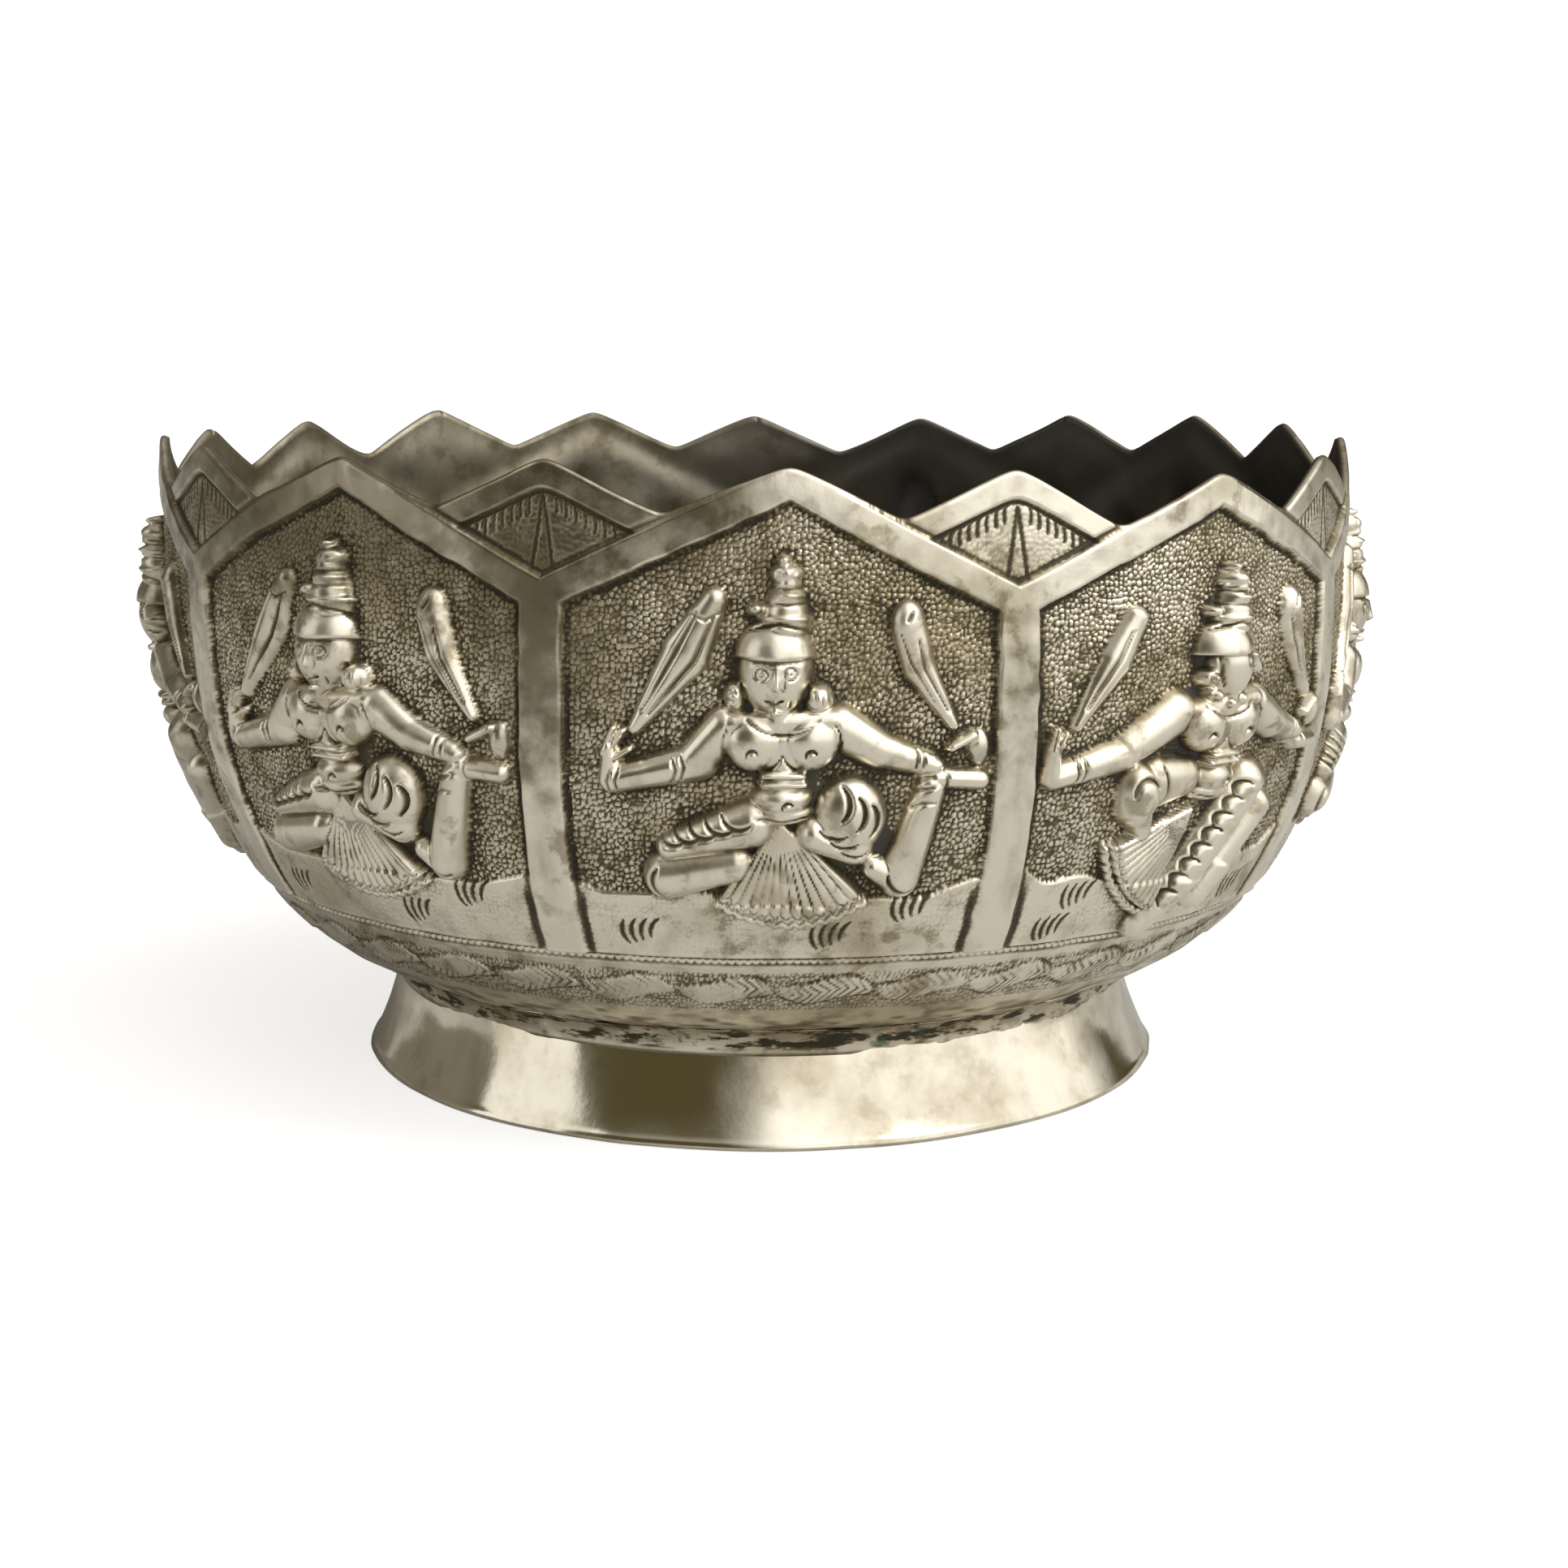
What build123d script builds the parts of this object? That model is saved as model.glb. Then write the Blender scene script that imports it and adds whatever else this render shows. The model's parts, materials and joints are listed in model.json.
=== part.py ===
from build123d import *
import math
import os

# A small chased metal offering bowl. One raised sheet forms the bowl: gabled panels with seated
# figures, petals between the gables, a zigzag rim, a beaded line and a rounded underside.
# A strip bent into a flared ring is closed with a soldered seam and soldered under the bowl.
# Millimetres, +Z up, origin at the centre of the foot on the table, one panel facing -Y.

# Bowl, measured on the outside of the sheet where it is not raised. Widths lead out from the foot
# to the belly, and heights lead up from the foot to the rim tips.
panel_count = 9
underside_width = 12.5  # from the foot out to where the wall turns up
underside_height = 8.4
wall_width = 6.0  # from that turn out to the belly
wall_height = 20.2
rim_inset = 0.8  # the rim tips stand this far inside the belly
rim_height = 18.0
sheet_thickness = 0.7

# Zigzag rim: a tip over each panel and each petal
notch_depth = 4.3
notch_round = 0.8
tip_round = 1.6

# Raised frames around the panels, and the petals between the gables
frame_relief = 0.6
strap_width = 3.3
gable_width = 2.4
strap_gap = 1.0  # the straps begin this far above the turn of the wall
petal_sink = 0.3  # petals lie this far behind the gables
petal_border = 1.9

# Ground strip under the figures, and the beaded line below it
ground_height = 6.4  # from the turn of the wall up to the ground line
ground_relief = 0.35
bead_radius = 0.45

# Foot ring
foot_top_radius = 33.2
foot_height = 9.4
foot_flare = 3.2  # the foot spreads this far from top to base
foot_hollow = 0.5  # its side curves in this far between top and base
foot_thickness = 0.9

# Solder
solder_leg = 2.2  # along each of the two faces it joins
solder_hollow = 0.4
seam_width = 0.4

# Seated figures, in low relief on the panels. Each form is a rounded bar between two places, across the
# panel from its centre line and up from the ground line, with its radius and its height off the sheet.
head_forms = {
    "face": ((-0.65, 16.2), (-0.65, 17.8), 2.6, 2.5),
    "cap": ((-1.4, 18.7), (0.1, 18.7), 2.2, 2.7),
    "crown": ((0.0, 20.9), (0.1, 23.2), 1.6, 2.2),
    "finial": ((0.1, 23.9), (0.0, 24.7), 1.1, 1.9),
    "left ear": ((-3.8, 15.2), (-3.6, 17.6), 0.8, 1.4),
    "right ear": ((2.8, 15.1), (2.4, 17.6), 0.8, 1.5),
}
chest_forms = {
    "torso": ((0.0, 12.4), (0.0, 8.6), 2.6, 1.8),
    "left breast": ((-2.1, 11.8), (-2.1, 12.2), 2.1, 2.2),
    "right breast": ((2.0, 11.8), (2.0, 12.2), 2.1, 2.2),
    "belly": ((-0.9, 7.8), (0.9, 7.8), 1.4, 2.1),
}
left_arm_bent = {
    "upper arm": ((-4.0, 13.1), (-6.4, 10.8), 1.3, 1.6),
    "forearm": ((-6.0, 10.6), (-12.6, 8.9), 1.0, 1.4),
    "hand": ((-12.9, 9.2), (-12.6, 12.0), 0.8, 1.3),
    "leaf stem": ((-10.7, 13.1), (-6.9, 19.0), 0.9, 1.0),
    "leaf": ((-6.9, 19.0), (-5.1, 22.4), 1.1, 1.4),
}
left_arm_long = {
    "upper arm": ((-4.0, 13.0), (-8.6, 10.4), 1.3, 1.6),
    "forearm": ((-8.8, 10.0), (-15.2, 8.6), 1.0, 1.4),
    "hand": ((-15.4, 8.6), (-15.2, 11.4), 0.8, 1.3),
    "leaf stem": ((-13.2, 12.6), (-10.0, 17.2), 0.8, 1.0),
    "leaf": ((-10.0, 17.2), (-8.2, 20.6), 1.0, 1.1),
}
right_arm_forms = {
    "upper arm": ((4.2, 13.2), (7.2, 11.4), 1.4, 1.6),
    "forearm": ((7.0, 11.5), (11.2, 10.2), 1.1, 1.5),
    "sash": ((11.6, 9.2), (14.6, 8.9), 0.9, 1.3),
    "hand": ((12.8, 11.4), (14.4, 12.0), 0.7, 1.0),
    "leaf stem": ((12.6, 13.4), (10.0, 17.2), 0.9, 1.2),
    "leaf": ((9.5, 19.2), (9.3, 20.6), 1.3, 1.2),
}
legs_folded = {
    "left thigh": ((-2.2, 6.0), (-8.4, 4.5), 1.4, 1.8),
    "left shin": ((-8.6, 1.7), (-3.6, 2.8), 1.6, 2.0),
    "right knee": ((4.7, 5.4), (5.5, 7.4), 2.4, 2.3),
    "right thigh": ((2.4, 5.4), (5.6, 4.4), 1.3, 1.9),
    "right shin": ((11.2, 8.3), (9.2, 1.4), 1.3, 1.8),
    "right foot": ((9.0, 1.4), (7.4, 2.3), 1.0, 1.5),
}
legs_stepping = {
    "left knee": ((-7.3, 6.1), (-7.3, 7.3), 1.9, 2.3),
    "left thigh": ((-5.4, 7.4), (-2.6, 7.6), 2.0, 1.7),
    "left shin": ((-6.8, 5.0), (-6.0, 3.2), 1.1, 1.6),
    "right thigh": ((5.4, 6.4), (0.6, -0.4), 1.8, 2.1),
    "right shin": ((0.6, -0.4), (-2.9, -4.4), 1.5, 1.8),
    "right calf": ((8.3, 4.2), (4.2, -2.2), 1.3, 1.7),
}
turned_head = (1.3, -0.7)  # the second figure's head, chest and right arm lie this far across and up
turned_chest = (0.6, -0.4)
turned_arm = (0.8, -0.4)

# Skirts: fans spread from an apex as far as a radius, between two angles from straight down
skirt_relief = 1.1
folded_skirt = {"apex": (-0.1, 6.4), "radius": 8.2, "from": -38, "to": 46}
stepping_skirt = {"apex": (-0.6, 5.4), "radius": 8.8, "from": -74, "to": -14}

# Room for cutting tools past the metal
spare = 2.0

# Wall line: places in radius and height, with the direction that the outer face looks, in degrees
seat_z = foot_height
hip_z = seat_z + underside_height
belly_z = hip_z + wall_height
tip_z = belly_z + rim_height
hip_radius = foot_top_radius + underside_width
belly_radius = hip_radius + wall_width
tip_radius = belly_radius - rim_inset
pitch = 360 / panel_count
half_pitch = pitch / 2


def end_heading(start, start_heading, end):
    # Direction at the end of the arc that leaves start in its direction and reaches end
    chord = math.degrees(math.atan2(end[1] - start[1], end[0] - start[0]))
    return 2 * chord - start_heading


def direction(heading):
    return (math.cos(math.radians(heading)), math.sin(math.radians(heading)))


down = -90
up = 90
inward = -180
tip_heading = end_heading((belly_radius, belly_z), up, (tip_radius, tip_z))
hip_heading = end_heading((belly_radius, belly_z), down, (hip_radius, hip_z))
seat_heading = end_heading((hip_radius, hip_z), hip_heading, (foot_top_radius, seat_z))
floor_drop = foot_top_radius * math.tan(math.radians((seat_heading - inward) / 2))
floor_z = seat_z - floor_drop


def wall_point(radius, height, facing, depth):
    # Place on the wall line, moved the given depth into the metal
    out = direction(facing)
    return (radius - depth * out[0], height - depth * out[1])


def wall_line(depth):
    # Wall line from above the tips down to the axis, the given depth inside the sheet's outer face
    tip = wall_point(tip_radius, tip_z, tip_heading - up, depth)
    belly = wall_point(belly_radius, belly_z, 0, depth)
    hip = wall_point(hip_radius, hip_z, hip_heading - down, depth)
    seat = wall_point(foot_top_radius, seat_z, seat_heading - down, depth)
    floor = (0, floor_z + depth)
    rise = direction(tip_heading)
    above = (tip[0] + spare * rise[0], tip[1] + spare * rise[1])
    with BuildLine() as line:
        Line(above, tip)
        TangentArc(belly, tip, tangent=(0, 1))
        TangentArc(belly, hip, tangent=direction(down))
        TangentArc(hip, seat, tangent=direction(hip_heading))
        TangentArc(seat, floor, tangent=direction(seat_heading))
    return line.line, above, floor


def wall_layer(outer_depth, inner_depth, plane):
    # Profile of the metal between two depths, on a plane through the axis
    outer_line, outer_top, outer_floor = wall_line(outer_depth)
    inner_line, inner_top, inner_floor = wall_line(inner_depth)
    with BuildSketch(plane) as layer:
        with BuildLine():
            add(outer_line)
            add(inner_line)
            Line(outer_top, inner_top)
            Line(outer_floor, inner_floor)
        make_face()
    return layer.sketch


def wall_radius(height):
    # Radius of the sheet's outer face between the turn of the wall and the tips
    if height > belly_z:
        draw, rise = rim_inset, rim_height
    else:
        draw, rise = wall_width, wall_height
    swell = (rise**2 + draw**2) / (2 * draw)
    return belly_radius - swell + math.sqrt(swell**2 - (height - belly_z) ** 2)


# Slope of the rim, which the gables follow
notch_half = tip_radius * math.sin(math.radians(half_pitch / 2))
rim_slope = notch_depth / notch_half
rim_angle = math.atan(rim_slope)
junction_z = tip_z - 2 * notch_depth
strap_bottom = hip_z + strap_gap
ground_z = hip_z + ground_height
reach = belly_radius + frame_relief + spare


def panel_prism(margin):
    # Space between two straps and under a gable, taken larger all round by the margin
    clear_strap = strap_width / 2 - margin
    wedge_tip = clear_strap / math.sin(math.radians(half_pitch))
    wedge_half = (reach - wedge_tip) * math.tan(math.radians(half_pitch))
    gable_top = tip_z - (gable_width - margin) / math.cos(rim_angle)
    gable_side = gable_top - reach * rim_slope
    with BuildPart() as prism:
        with BuildSketch(Plane.XY.offset(strap_bottom - margin)):
            with BuildLine():
                Polyline((0, -wedge_tip), (wedge_half, -reach), (-wedge_half, -reach), close=True)
            make_face()
        extrude(amount=tip_z)
        with BuildSketch(Plane.XZ):
            with BuildLine():
                Polyline((-reach, 0), (reach, 0), (reach, gable_side), (0, gable_top),
                         (-reach, gable_side), close=True)
            make_face()
        extrude(amount=reach + spare, mode=Mode.INTERSECT)
    return prism.part


def petal_prism(border, margin):
    # Space of a petal between two gables, inside a border along the rim, larger below by the margin
    bottom = junction_z - margin / math.cos(rim_angle)
    top = tip_z - border / math.cos(rim_angle)
    half = (top - bottom) / (2 * rim_slope)
    middle = (top + bottom) / 2
    with BuildPart() as prism:
        with BuildSketch(Plane.XZ):
            with BuildLine():
                Polyline((0, bottom), (half, middle), (0, top), (-half, middle), close=True)
            make_face()
        extrude(amount=reach + spare)
    return prism.part


panel_edge = Plane.XZ.rotated((0, 0, -half_pitch - 90))


def panel_layer(outer_depth, inner_depth):
    # Metal between two depths across one panel, from the feet of the straps up
    with BuildPart() as layer:
        revolve(wall_layer(outer_depth, inner_depth, panel_edge), axis=Axis.Z, revolution_arc=pitch)
        split(bisect_by=Plane.XY.offset(strap_bottom), keep=Keep.TOP)
    return layer.part


def beside(part, turn):
    # The same part turned to both sides of the panel
    return [part.moved(Location((0, 0, 0), (0, 0, side * turn))) for side in (-1, 1)]


def wall_core(depth):
    # Everything inside the wall at a depth, for trimming the figures
    line, top, floor = wall_line(depth)
    with BuildPart() as core:
        with BuildSketch(Plane.XZ):
            with BuildLine():
                add(line)
                Polyline(floor, (0, top[1]), top)
            make_face()
        revolve(axis=Axis.Z)
    return core.part


# One notch of the rim, rounded at its bottom and at half of the tip on each side
with BuildPart() as rim_notch:
    rounded_tip_z = tip_z - tip_round * (1 / math.cos(rim_angle) - 1)
    shoulder = (rounded_tip_z - tip_z + notch_depth) / rim_slope
    notch_side = notch_half + spare
    notch_top = tip_z + 2 * spare
    with BuildSketch(Plane.XZ) as notch_outline:
        with BuildLine():
            Polyline((0, tip_z - notch_depth), (shoulder, rounded_tip_z), (notch_side, rounded_tip_z),
                     (notch_side, notch_top), (-notch_side, notch_top), (-notch_side, rounded_tip_z),
                     (-shoulder, rounded_tip_z), close=True)
        make_face()
        corners = notch_outline.vertices().sort_by(Axis.Y)
        fillet(corners[0], notch_round)
        fillet(corners[1:5].sort_by(lambda corner: abs(corner.X))[:2], tip_round)
    extrude(amount=reach + spare)


def panel_place(across, height, lift):
    # Place on a panel: across from its centre line, at a height, lifted off the sheet
    turn = across / belly_radius
    radius = wall_radius(height) + lift
    return Vector(radius * math.sin(turn), -radius * math.cos(turn), height)


# Sunk fields of the panel and of the half petals at its sides
with BuildPart() as fields:
    add([panel_prism(0)] + beside(petal_prism(petal_border, 0), half_pitch))
    add(panel_layer(-frame_relief - spare, 0), mode=Mode.INTERSECT)

# Petals, set back behind the gables
with BuildPart() as petals:
    add(beside(petal_prism(-spare, 0), half_pitch))
    add(panel_layer(-frame_relief - spare, petal_sink - frame_relief), mode=Mode.INTERSECT)

# Hollow behind the frames, because the sheet is pushed out from inside to raise them
with BuildPart() as frame_hollow:
    add(panel_layer(sheet_thickness - frame_relief, sheet_thickness + spare))
    split(bisect_by=Plane.XY.offset(strap_bottom + sheet_thickness), keep=Keep.TOP)
    add([panel_prism(sheet_thickness)], mode=Mode.SUBTRACT)
    add(beside(petal_prism(-spare, sheet_thickness), half_pitch), mode=Mode.SUBTRACT)

# Ground strip that the figure sits on
with BuildPart() as ground:
    add(panel_layer(-ground_relief, sheet_thickness / 2))
    split(bisect_by=Plane.XY.offset(ground_z), keep=Keep.BOTTOM)


def shifted(forms, offset):
    # The same forms moved across and up
    def moved(place):
        return (place[0] + offset[0], place[1] + offset[1])
    return {name: (moved(start), moved(end), radius, height) for name, (start, end, radius, height) in forms.items()}


def skirt_fan(apex, radius, turns):
    # A skirt as a raised fan on the sheet
    top = Vector(apex[0], ground_z + apex[1])
    hem = [top + Vector(0, -radius).rotate(Axis.Z, turn) for turn in turns]
    with BuildPart() as fan:
        add(panel_layer(-skirt_relief, sheet_thickness / 2))
        with BuildSketch(Plane.XZ):
            with BuildLine():
                Line(top, hem[0])
                ThreePointArc(*hem)
                Line(hem[-1], top)
            make_face()
        extrude(amount=reach, mode=Mode.INTERSECT)
    return fan.part


def seated_figure(groups, skirt):
    # A figure: rounded forms half sunk in the sheet, and its skirt
    middle_turn = (skirt["from"] + skirt["to"]) / 2
    with BuildPart() as figure:
        for start, end, radius, height in [form for group in groups for form in group.values()]:
            tail = panel_place(start[0], ground_z + start[1], height - radius)
            head = panel_place(end[0], ground_z + end[1], height - radius)
            middle = (tail + head) / 2
            along = (head - tail).normalized()
            length = (head - tail).length
            with BuildSketch(Plane(origin=middle, x_dir=along, z_dir=along.cross(middle))):
                SlotCenterToCenter(length, 2 * radius)
                Rectangle(length + 2 * radius, radius, align=(Align.CENTER, Align.MAX), mode=Mode.SUBTRACT)
            revolve(axis=Axis(middle, along))
        add(wall_core(sheet_thickness / 2), mode=Mode.SUBTRACT)
        add(skirt_fan(skirt["apex"], skirt["radius"], (skirt["from"], middle_turn, skirt["to"])))
    return figure.part


# One plain panel of the wall, from strap to strap
with BuildPart() as panel:
    add(panel_layer(-frame_relief, sheet_thickness))
    add([fields.part, petals.part], mode=Mode.SUBTRACT)
    add(frame_hollow.part, mode=Mode.SUBTRACT)
    add(ground.part)
    add(beside(rim_notch.part, half_pitch / 2), mode=Mode.SUBTRACT)

with BuildPart() as folded_panel:
    add(panel.part)
    add(seated_figure([head_forms, chest_forms, left_arm_bent, right_arm_forms, legs_folded], folded_skirt))

with BuildPart() as stepping_panel:
    add(panel.part)
    add(seated_figure([shifted(head_forms, turned_head), shifted(chest_forms, turned_chest), left_arm_long,
                       shifted(right_arm_forms, turned_arm), legs_stepping], stepping_skirt))

# The bowl: panels with the two figures by turns, above the underside with its bead
with BuildPart() as bowl:
    revolve(wall_layer(0, sheet_thickness, Plane.XZ), axis=Axis.Z)
    split(bisect_by=Plane.XY.offset(strap_bottom), keep=Keep.BOTTOM)
    with BuildSketch(Plane.XZ):
        with Locations((hip_radius, hip_z)):
            Circle(bead_radius)
    revolve(axis=Axis.Z)
    by_turns = [folded_panel.part, stepping_panel.part] * panel_count
    add([by_turns[index].moved(Location((0, 0, 0), (0, 0, pitch * index))) for index in range(panel_count)])
bowl.part.label = "bowl"

# Foot: a flared ring under the bowl, open at the back where its seam is
seat = Vector(foot_top_radius, seat_z)
foot_base_radius = foot_top_radius + foot_flare
underside = TangentArc(seat, (hip_radius, hip_z), tangent=direction(seat_heading - inward))
floor_line = TangentArc(seat, (0, floor_z), tangent=direction(seat_heading))
foot_seat = floor_line.trim_to_length(0, foot_thickness)
inner_floor = floor_line.trim(foot_seat @ 1, 1)


def foot_side(top, base_radius):
    # Side of the foot from under the bowl down to the table, curved in between
    middle = ((top.X + base_radius) / 2 - foot_hollow, top.Y / 2)
    return ThreePointArc(top, middle, (base_radius, 0))


outer_side = foot_side(seat, foot_base_radius)
inner_side = foot_side(foot_seat @ 1, foot_base_radius - foot_thickness)

with BuildPart() as foot_blank:
    with BuildSketch(Plane.XZ):
        with BuildLine():
            add([outer_side, foot_seat, inner_side])
            Line(outer_side @ 1, inner_side @ 1)
        make_face()
    revolve(axis=Axis.Z)

with BuildPart() as seam_slot:
    slot_depth = 2 * (foot_flare + foot_thickness + spare)
    with Locations((0, foot_top_radius, 0)):
        Box(seam_width, slot_depth, seat_z + spare, align=(Align.CENTER, Align.CENTER, Align.MIN))

with BuildPart() as foot_ring:
    add(foot_blank.part)
    add(seam_slot.part, mode=Mode.SUBTRACT)
foot_ring.part.label = "foot_ring"

with BuildPart() as foot_seam:
    add(foot_blank.part)
    add(seam_slot.part, mode=Mode.INTERSECT)
foot_seam.part.label = "foot_seam"


def solder_fillet(foot_face, wall_face):
    # Profile of a concave fillet between the foot and the bowl, both taken from their shared corner
    foot_leg = foot_face.trim_to_length(0, solder_leg)
    wall_leg = wall_face.trim_to_length(0, solder_leg)
    middle = (foot_leg @ 1 + wall_leg @ 1) / 2
    hollow = middle + (foot_leg @ 0 - middle).normalized() * solder_hollow
    with BuildSketch(Plane.XZ) as profile:
        with BuildLine():
            add([foot_leg, wall_leg])
            ThreePointArc(foot_leg @ 1, hollow, wall_leg @ 1)
        make_face()
    return profile.sketch


# Solder around the neck outside, and in the corner inside the foot
with BuildPart() as neck_solder:
    revolve(solder_fillet(outer_side, underside), axis=Axis.Z)
neck_solder.part.label = "neck_solder"

with BuildPart() as inner_solder:
    revolve(solder_fillet(inner_side, inner_floor), axis=Axis.Z)
inner_solder.part.label = "inner_solder"

os.makedirs("parts", exist_ok=True)
export_step(bowl.part, "parts/bowl.step")
export_step(foot_ring.part, "parts/foot_ring.step")
export_step(foot_seam.part, "parts/foot_seam.step")
export_step(neck_solder.part, "parts/neck_solder.step")
export_step(inner_solder.part, "parts/inner_solder.step")
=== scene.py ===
import json
import math

import bmesh
import bpy
import numpy as np
from mathutils import Matrix, Vector

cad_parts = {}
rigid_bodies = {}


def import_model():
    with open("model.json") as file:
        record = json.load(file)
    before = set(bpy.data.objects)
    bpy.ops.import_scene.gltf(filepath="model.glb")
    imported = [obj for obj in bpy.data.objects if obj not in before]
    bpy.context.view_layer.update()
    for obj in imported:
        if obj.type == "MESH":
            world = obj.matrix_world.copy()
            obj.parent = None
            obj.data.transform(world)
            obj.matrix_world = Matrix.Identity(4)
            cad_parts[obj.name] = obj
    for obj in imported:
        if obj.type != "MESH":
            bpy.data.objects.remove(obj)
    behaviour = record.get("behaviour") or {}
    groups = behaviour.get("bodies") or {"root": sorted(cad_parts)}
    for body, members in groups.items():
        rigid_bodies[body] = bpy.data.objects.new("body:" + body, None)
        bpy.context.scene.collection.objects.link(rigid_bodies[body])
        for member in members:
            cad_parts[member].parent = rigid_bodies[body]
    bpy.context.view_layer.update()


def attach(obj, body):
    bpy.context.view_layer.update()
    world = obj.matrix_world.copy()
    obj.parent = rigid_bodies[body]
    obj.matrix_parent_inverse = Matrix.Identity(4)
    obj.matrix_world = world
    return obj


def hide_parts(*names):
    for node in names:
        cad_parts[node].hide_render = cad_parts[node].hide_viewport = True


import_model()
mm = 0.001
scene = bpy.context.scene

# the sheet's outer meridian as (radius, height) in millimetres, the same as the construction
meridian = {"tip": (50.9, 56.0), "belly": (51.7, 38.0), "hip": (45.7, 17.8), "seat": (33.2, 9.4),
            "floor": (0.0, 6.236), "sheet": 0.7, "floorDisc": 31.0}


def arcRun(start, heading, end, count, reach=1.0):
    across = end[0] - start[0]
    rise = end[1] - start[1]
    bend = (math.atan2(rise, across) - heading + math.pi) % (2.0 * math.pi) - math.pi
    radius = math.hypot(across, rise) / (2.0 * math.sin(bend))
    headings = heading + np.linspace(0.0, 2.0 * bend * reach, count)
    r = start[0] + radius * (np.sin(headings) - math.sin(heading))
    z = start[1] - radius * (np.cos(headings) - math.cos(heading))
    return r, z, headings


quarter = math.pi / 2.0
flank = arcRun(meridian["belly"], -quarter, meridian["hip"], 500)
under = arcRun(meridian["hip"], flank[2][-1], meridian["seat"], 400)
base = arcRun(meridian["seat"], under[2][-1], meridian["floor"], 300)
upper = arcRun(meridian["belly"], quarter, meridian["tip"], 400, 1.2)
lower = [np.concatenate([a, b[1:], c[1:]])[::-1] for a, b, c in zip(flank, under, base)]
pathR = np.concatenate([lower[0], upper[0][1:]])
pathZ = np.concatenate([lower[1], upper[1][1:]])
pathN = np.concatenate([lower[2] + quarter, upper[2][1:] - quarter])  # outward direction
pathS = np.concatenate([[0.0], np.cumsum(np.hypot(np.diff(pathR), np.diff(pathZ)))])
lowerCount = len(lower[0])


def runAtZ(z):
    return np.interp(z, pathZ, pathS)


def onPath(s, out):
    r = np.interp(s, pathS, pathR)
    z = np.interp(s, pathS, pathZ)
    n = np.interp(s, pathS, pathN)
    return r + out * np.cos(n), z + out * np.sin(n)


def ramp(x, low, high):
    t = np.clip((x - low) / (high - low), 0.0, 1.0)
    return t * t * (3.0 - 2.0 * t)


# smooth noise from a seeded table
noiseRows = 257


def softNoise(x, y, seed, wrap):
    table = np.random.default_rng(seed).random((wrap, noiseRows)) * 2.0 - 1.0
    ix = np.floor(x).astype(int)
    iy = np.floor(y).astype(int)
    fx = ramp(x - ix, 0.0, 1.0)
    fy = ramp(y - iy, 0.0, 1.0)
    a = table[ix % wrap, iy % noiseRows]
    b = table[(ix + 1) % wrap, iy % noiseRows]
    c = table[ix % wrap, (iy + 1) % noiseRows]
    d = table[(ix + 1) % wrap, (iy + 1) % noiseRows]
    return (a * (1.0 - fx) + b * fx) * (1.0 - fy) + (c * (1.0 - fx) + d * fx) * fy


# punched stones around scattered spots, round on top with a gap to the next
stone = {"cells": 64, "scatter": 0.9, "far": 9.0, "edge": 1.6, "top": 1.25, "round": 1.3, "gap": 1.5}


def cobble(x, y, seed):
    cells = stone["cells"]
    table = np.random.default_rng(seed).random((cells, cells, 2)) * stone["scatter"]
    ix = np.floor(x).astype(int)
    iy = np.floor(y).astype(int)
    first = np.full(x.shape, stone["far"])
    second = np.full(x.shape, stone["far"])
    for dx in (-1, 0, 1):
        for dy in (-1, 0, 1):
            spot = table[(ix + dx) % cells, (iy + dy) % cells]
            gap = np.hypot(ix + dx + spot[..., 0] - x, iy + dy + spot[..., 1] - y)
            second = np.minimum(second, np.maximum(first, gap))
            first = np.minimum(first, gap)
    split = np.clip(stone["edge"] * (second - first), 0.0, 1.0)
    return split * np.clip(stone["top"] - stone["round"] * first ** 2, 0.0, 1.0)


def dirtBetween(stones, most):
    return np.clip(most - stone["gap"] * stones, 0.0, 1.0)


def blur(field, rows, columns):
    for axis, size in ((0, rows), (1, columns)):
        for turn in range(2):
            pad = [(0, 0), (0, 0)]
            pad[axis] = (size + 1, size)
            total = np.cumsum(np.pad(field, pad, mode="edge"), axis=axis)
            top = np.take(total, np.arange(2 * size + 1, total.shape[axis]), axis=axis)
            bottom = np.take(total, np.arange(0, total.shape[axis] - 2 * size - 1), axis=axis)
            field = (top - bottom) / (2 * size + 1)
    return field


def toLine(u, z, a, b):
    du = b[0] - a[0]
    dz = b[1] - a[1]
    size = du * du + dz * dz + 1e-9
    t = np.clip(((u - a[0]) * du + (z - a[1]) * dz) / size, 0.0, 1.0)
    return np.hypot(u - a[0] - t * du, z - a[1] - t * dz), t


def dome(u, z, centre, half, height, power=0.62):
    q = ((u - centre[0]) / half[0]) ** 2 + ((z - centre[1]) / half[1]) ** 2
    return height * np.clip(1.0 - q, 0.0, 1.0) ** power


def limb(u, z, a, b, radii, heights, power=0.66):
    gap, t = toLine(u, z, a, b)
    radius = radii[0] + (radii[1] - radii[0]) * t
    height = heights[0] + (heights[1] - heights[0]) * t
    return height * np.clip(1.0 - (gap / radius) ** 2, 0.0, 1.0) ** power


# a chased stroke is thin at both ends
taper = {"end": 0.4, "swell": 0.75, "far": 99.0}


def stroke(u, z, points, width):
    best = np.full(u.shape, taper["far"])
    for k, (a, b) in enumerate(zip(points, points[1:])):
        gap, t = toLine(u, z, a, b)
        along = np.sin(math.pi * (k + t) / (len(points) - 1))
        best = np.minimum(best, gap / (taper["end"] + taper["swell"] * along))
    return np.exp(-(best / width) ** 2)


def bow(centre, radius, start, end, count=7):
    turns = np.radians(np.linspace(start, end, count))
    return [(centre[0] + radius * math.cos(t), centre[1] + radius * math.sin(t)) for t in turns]


# the rim: a tip every 20 degrees with rounded notches between, a little uneven
rim = {"run": 8.94, "slope": 0.481, "tipSoft": 0.8, "notchSoft": 0.6, "wobble": 0.55, "uneven": 0.22,
       "rise": 0.18}


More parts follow.
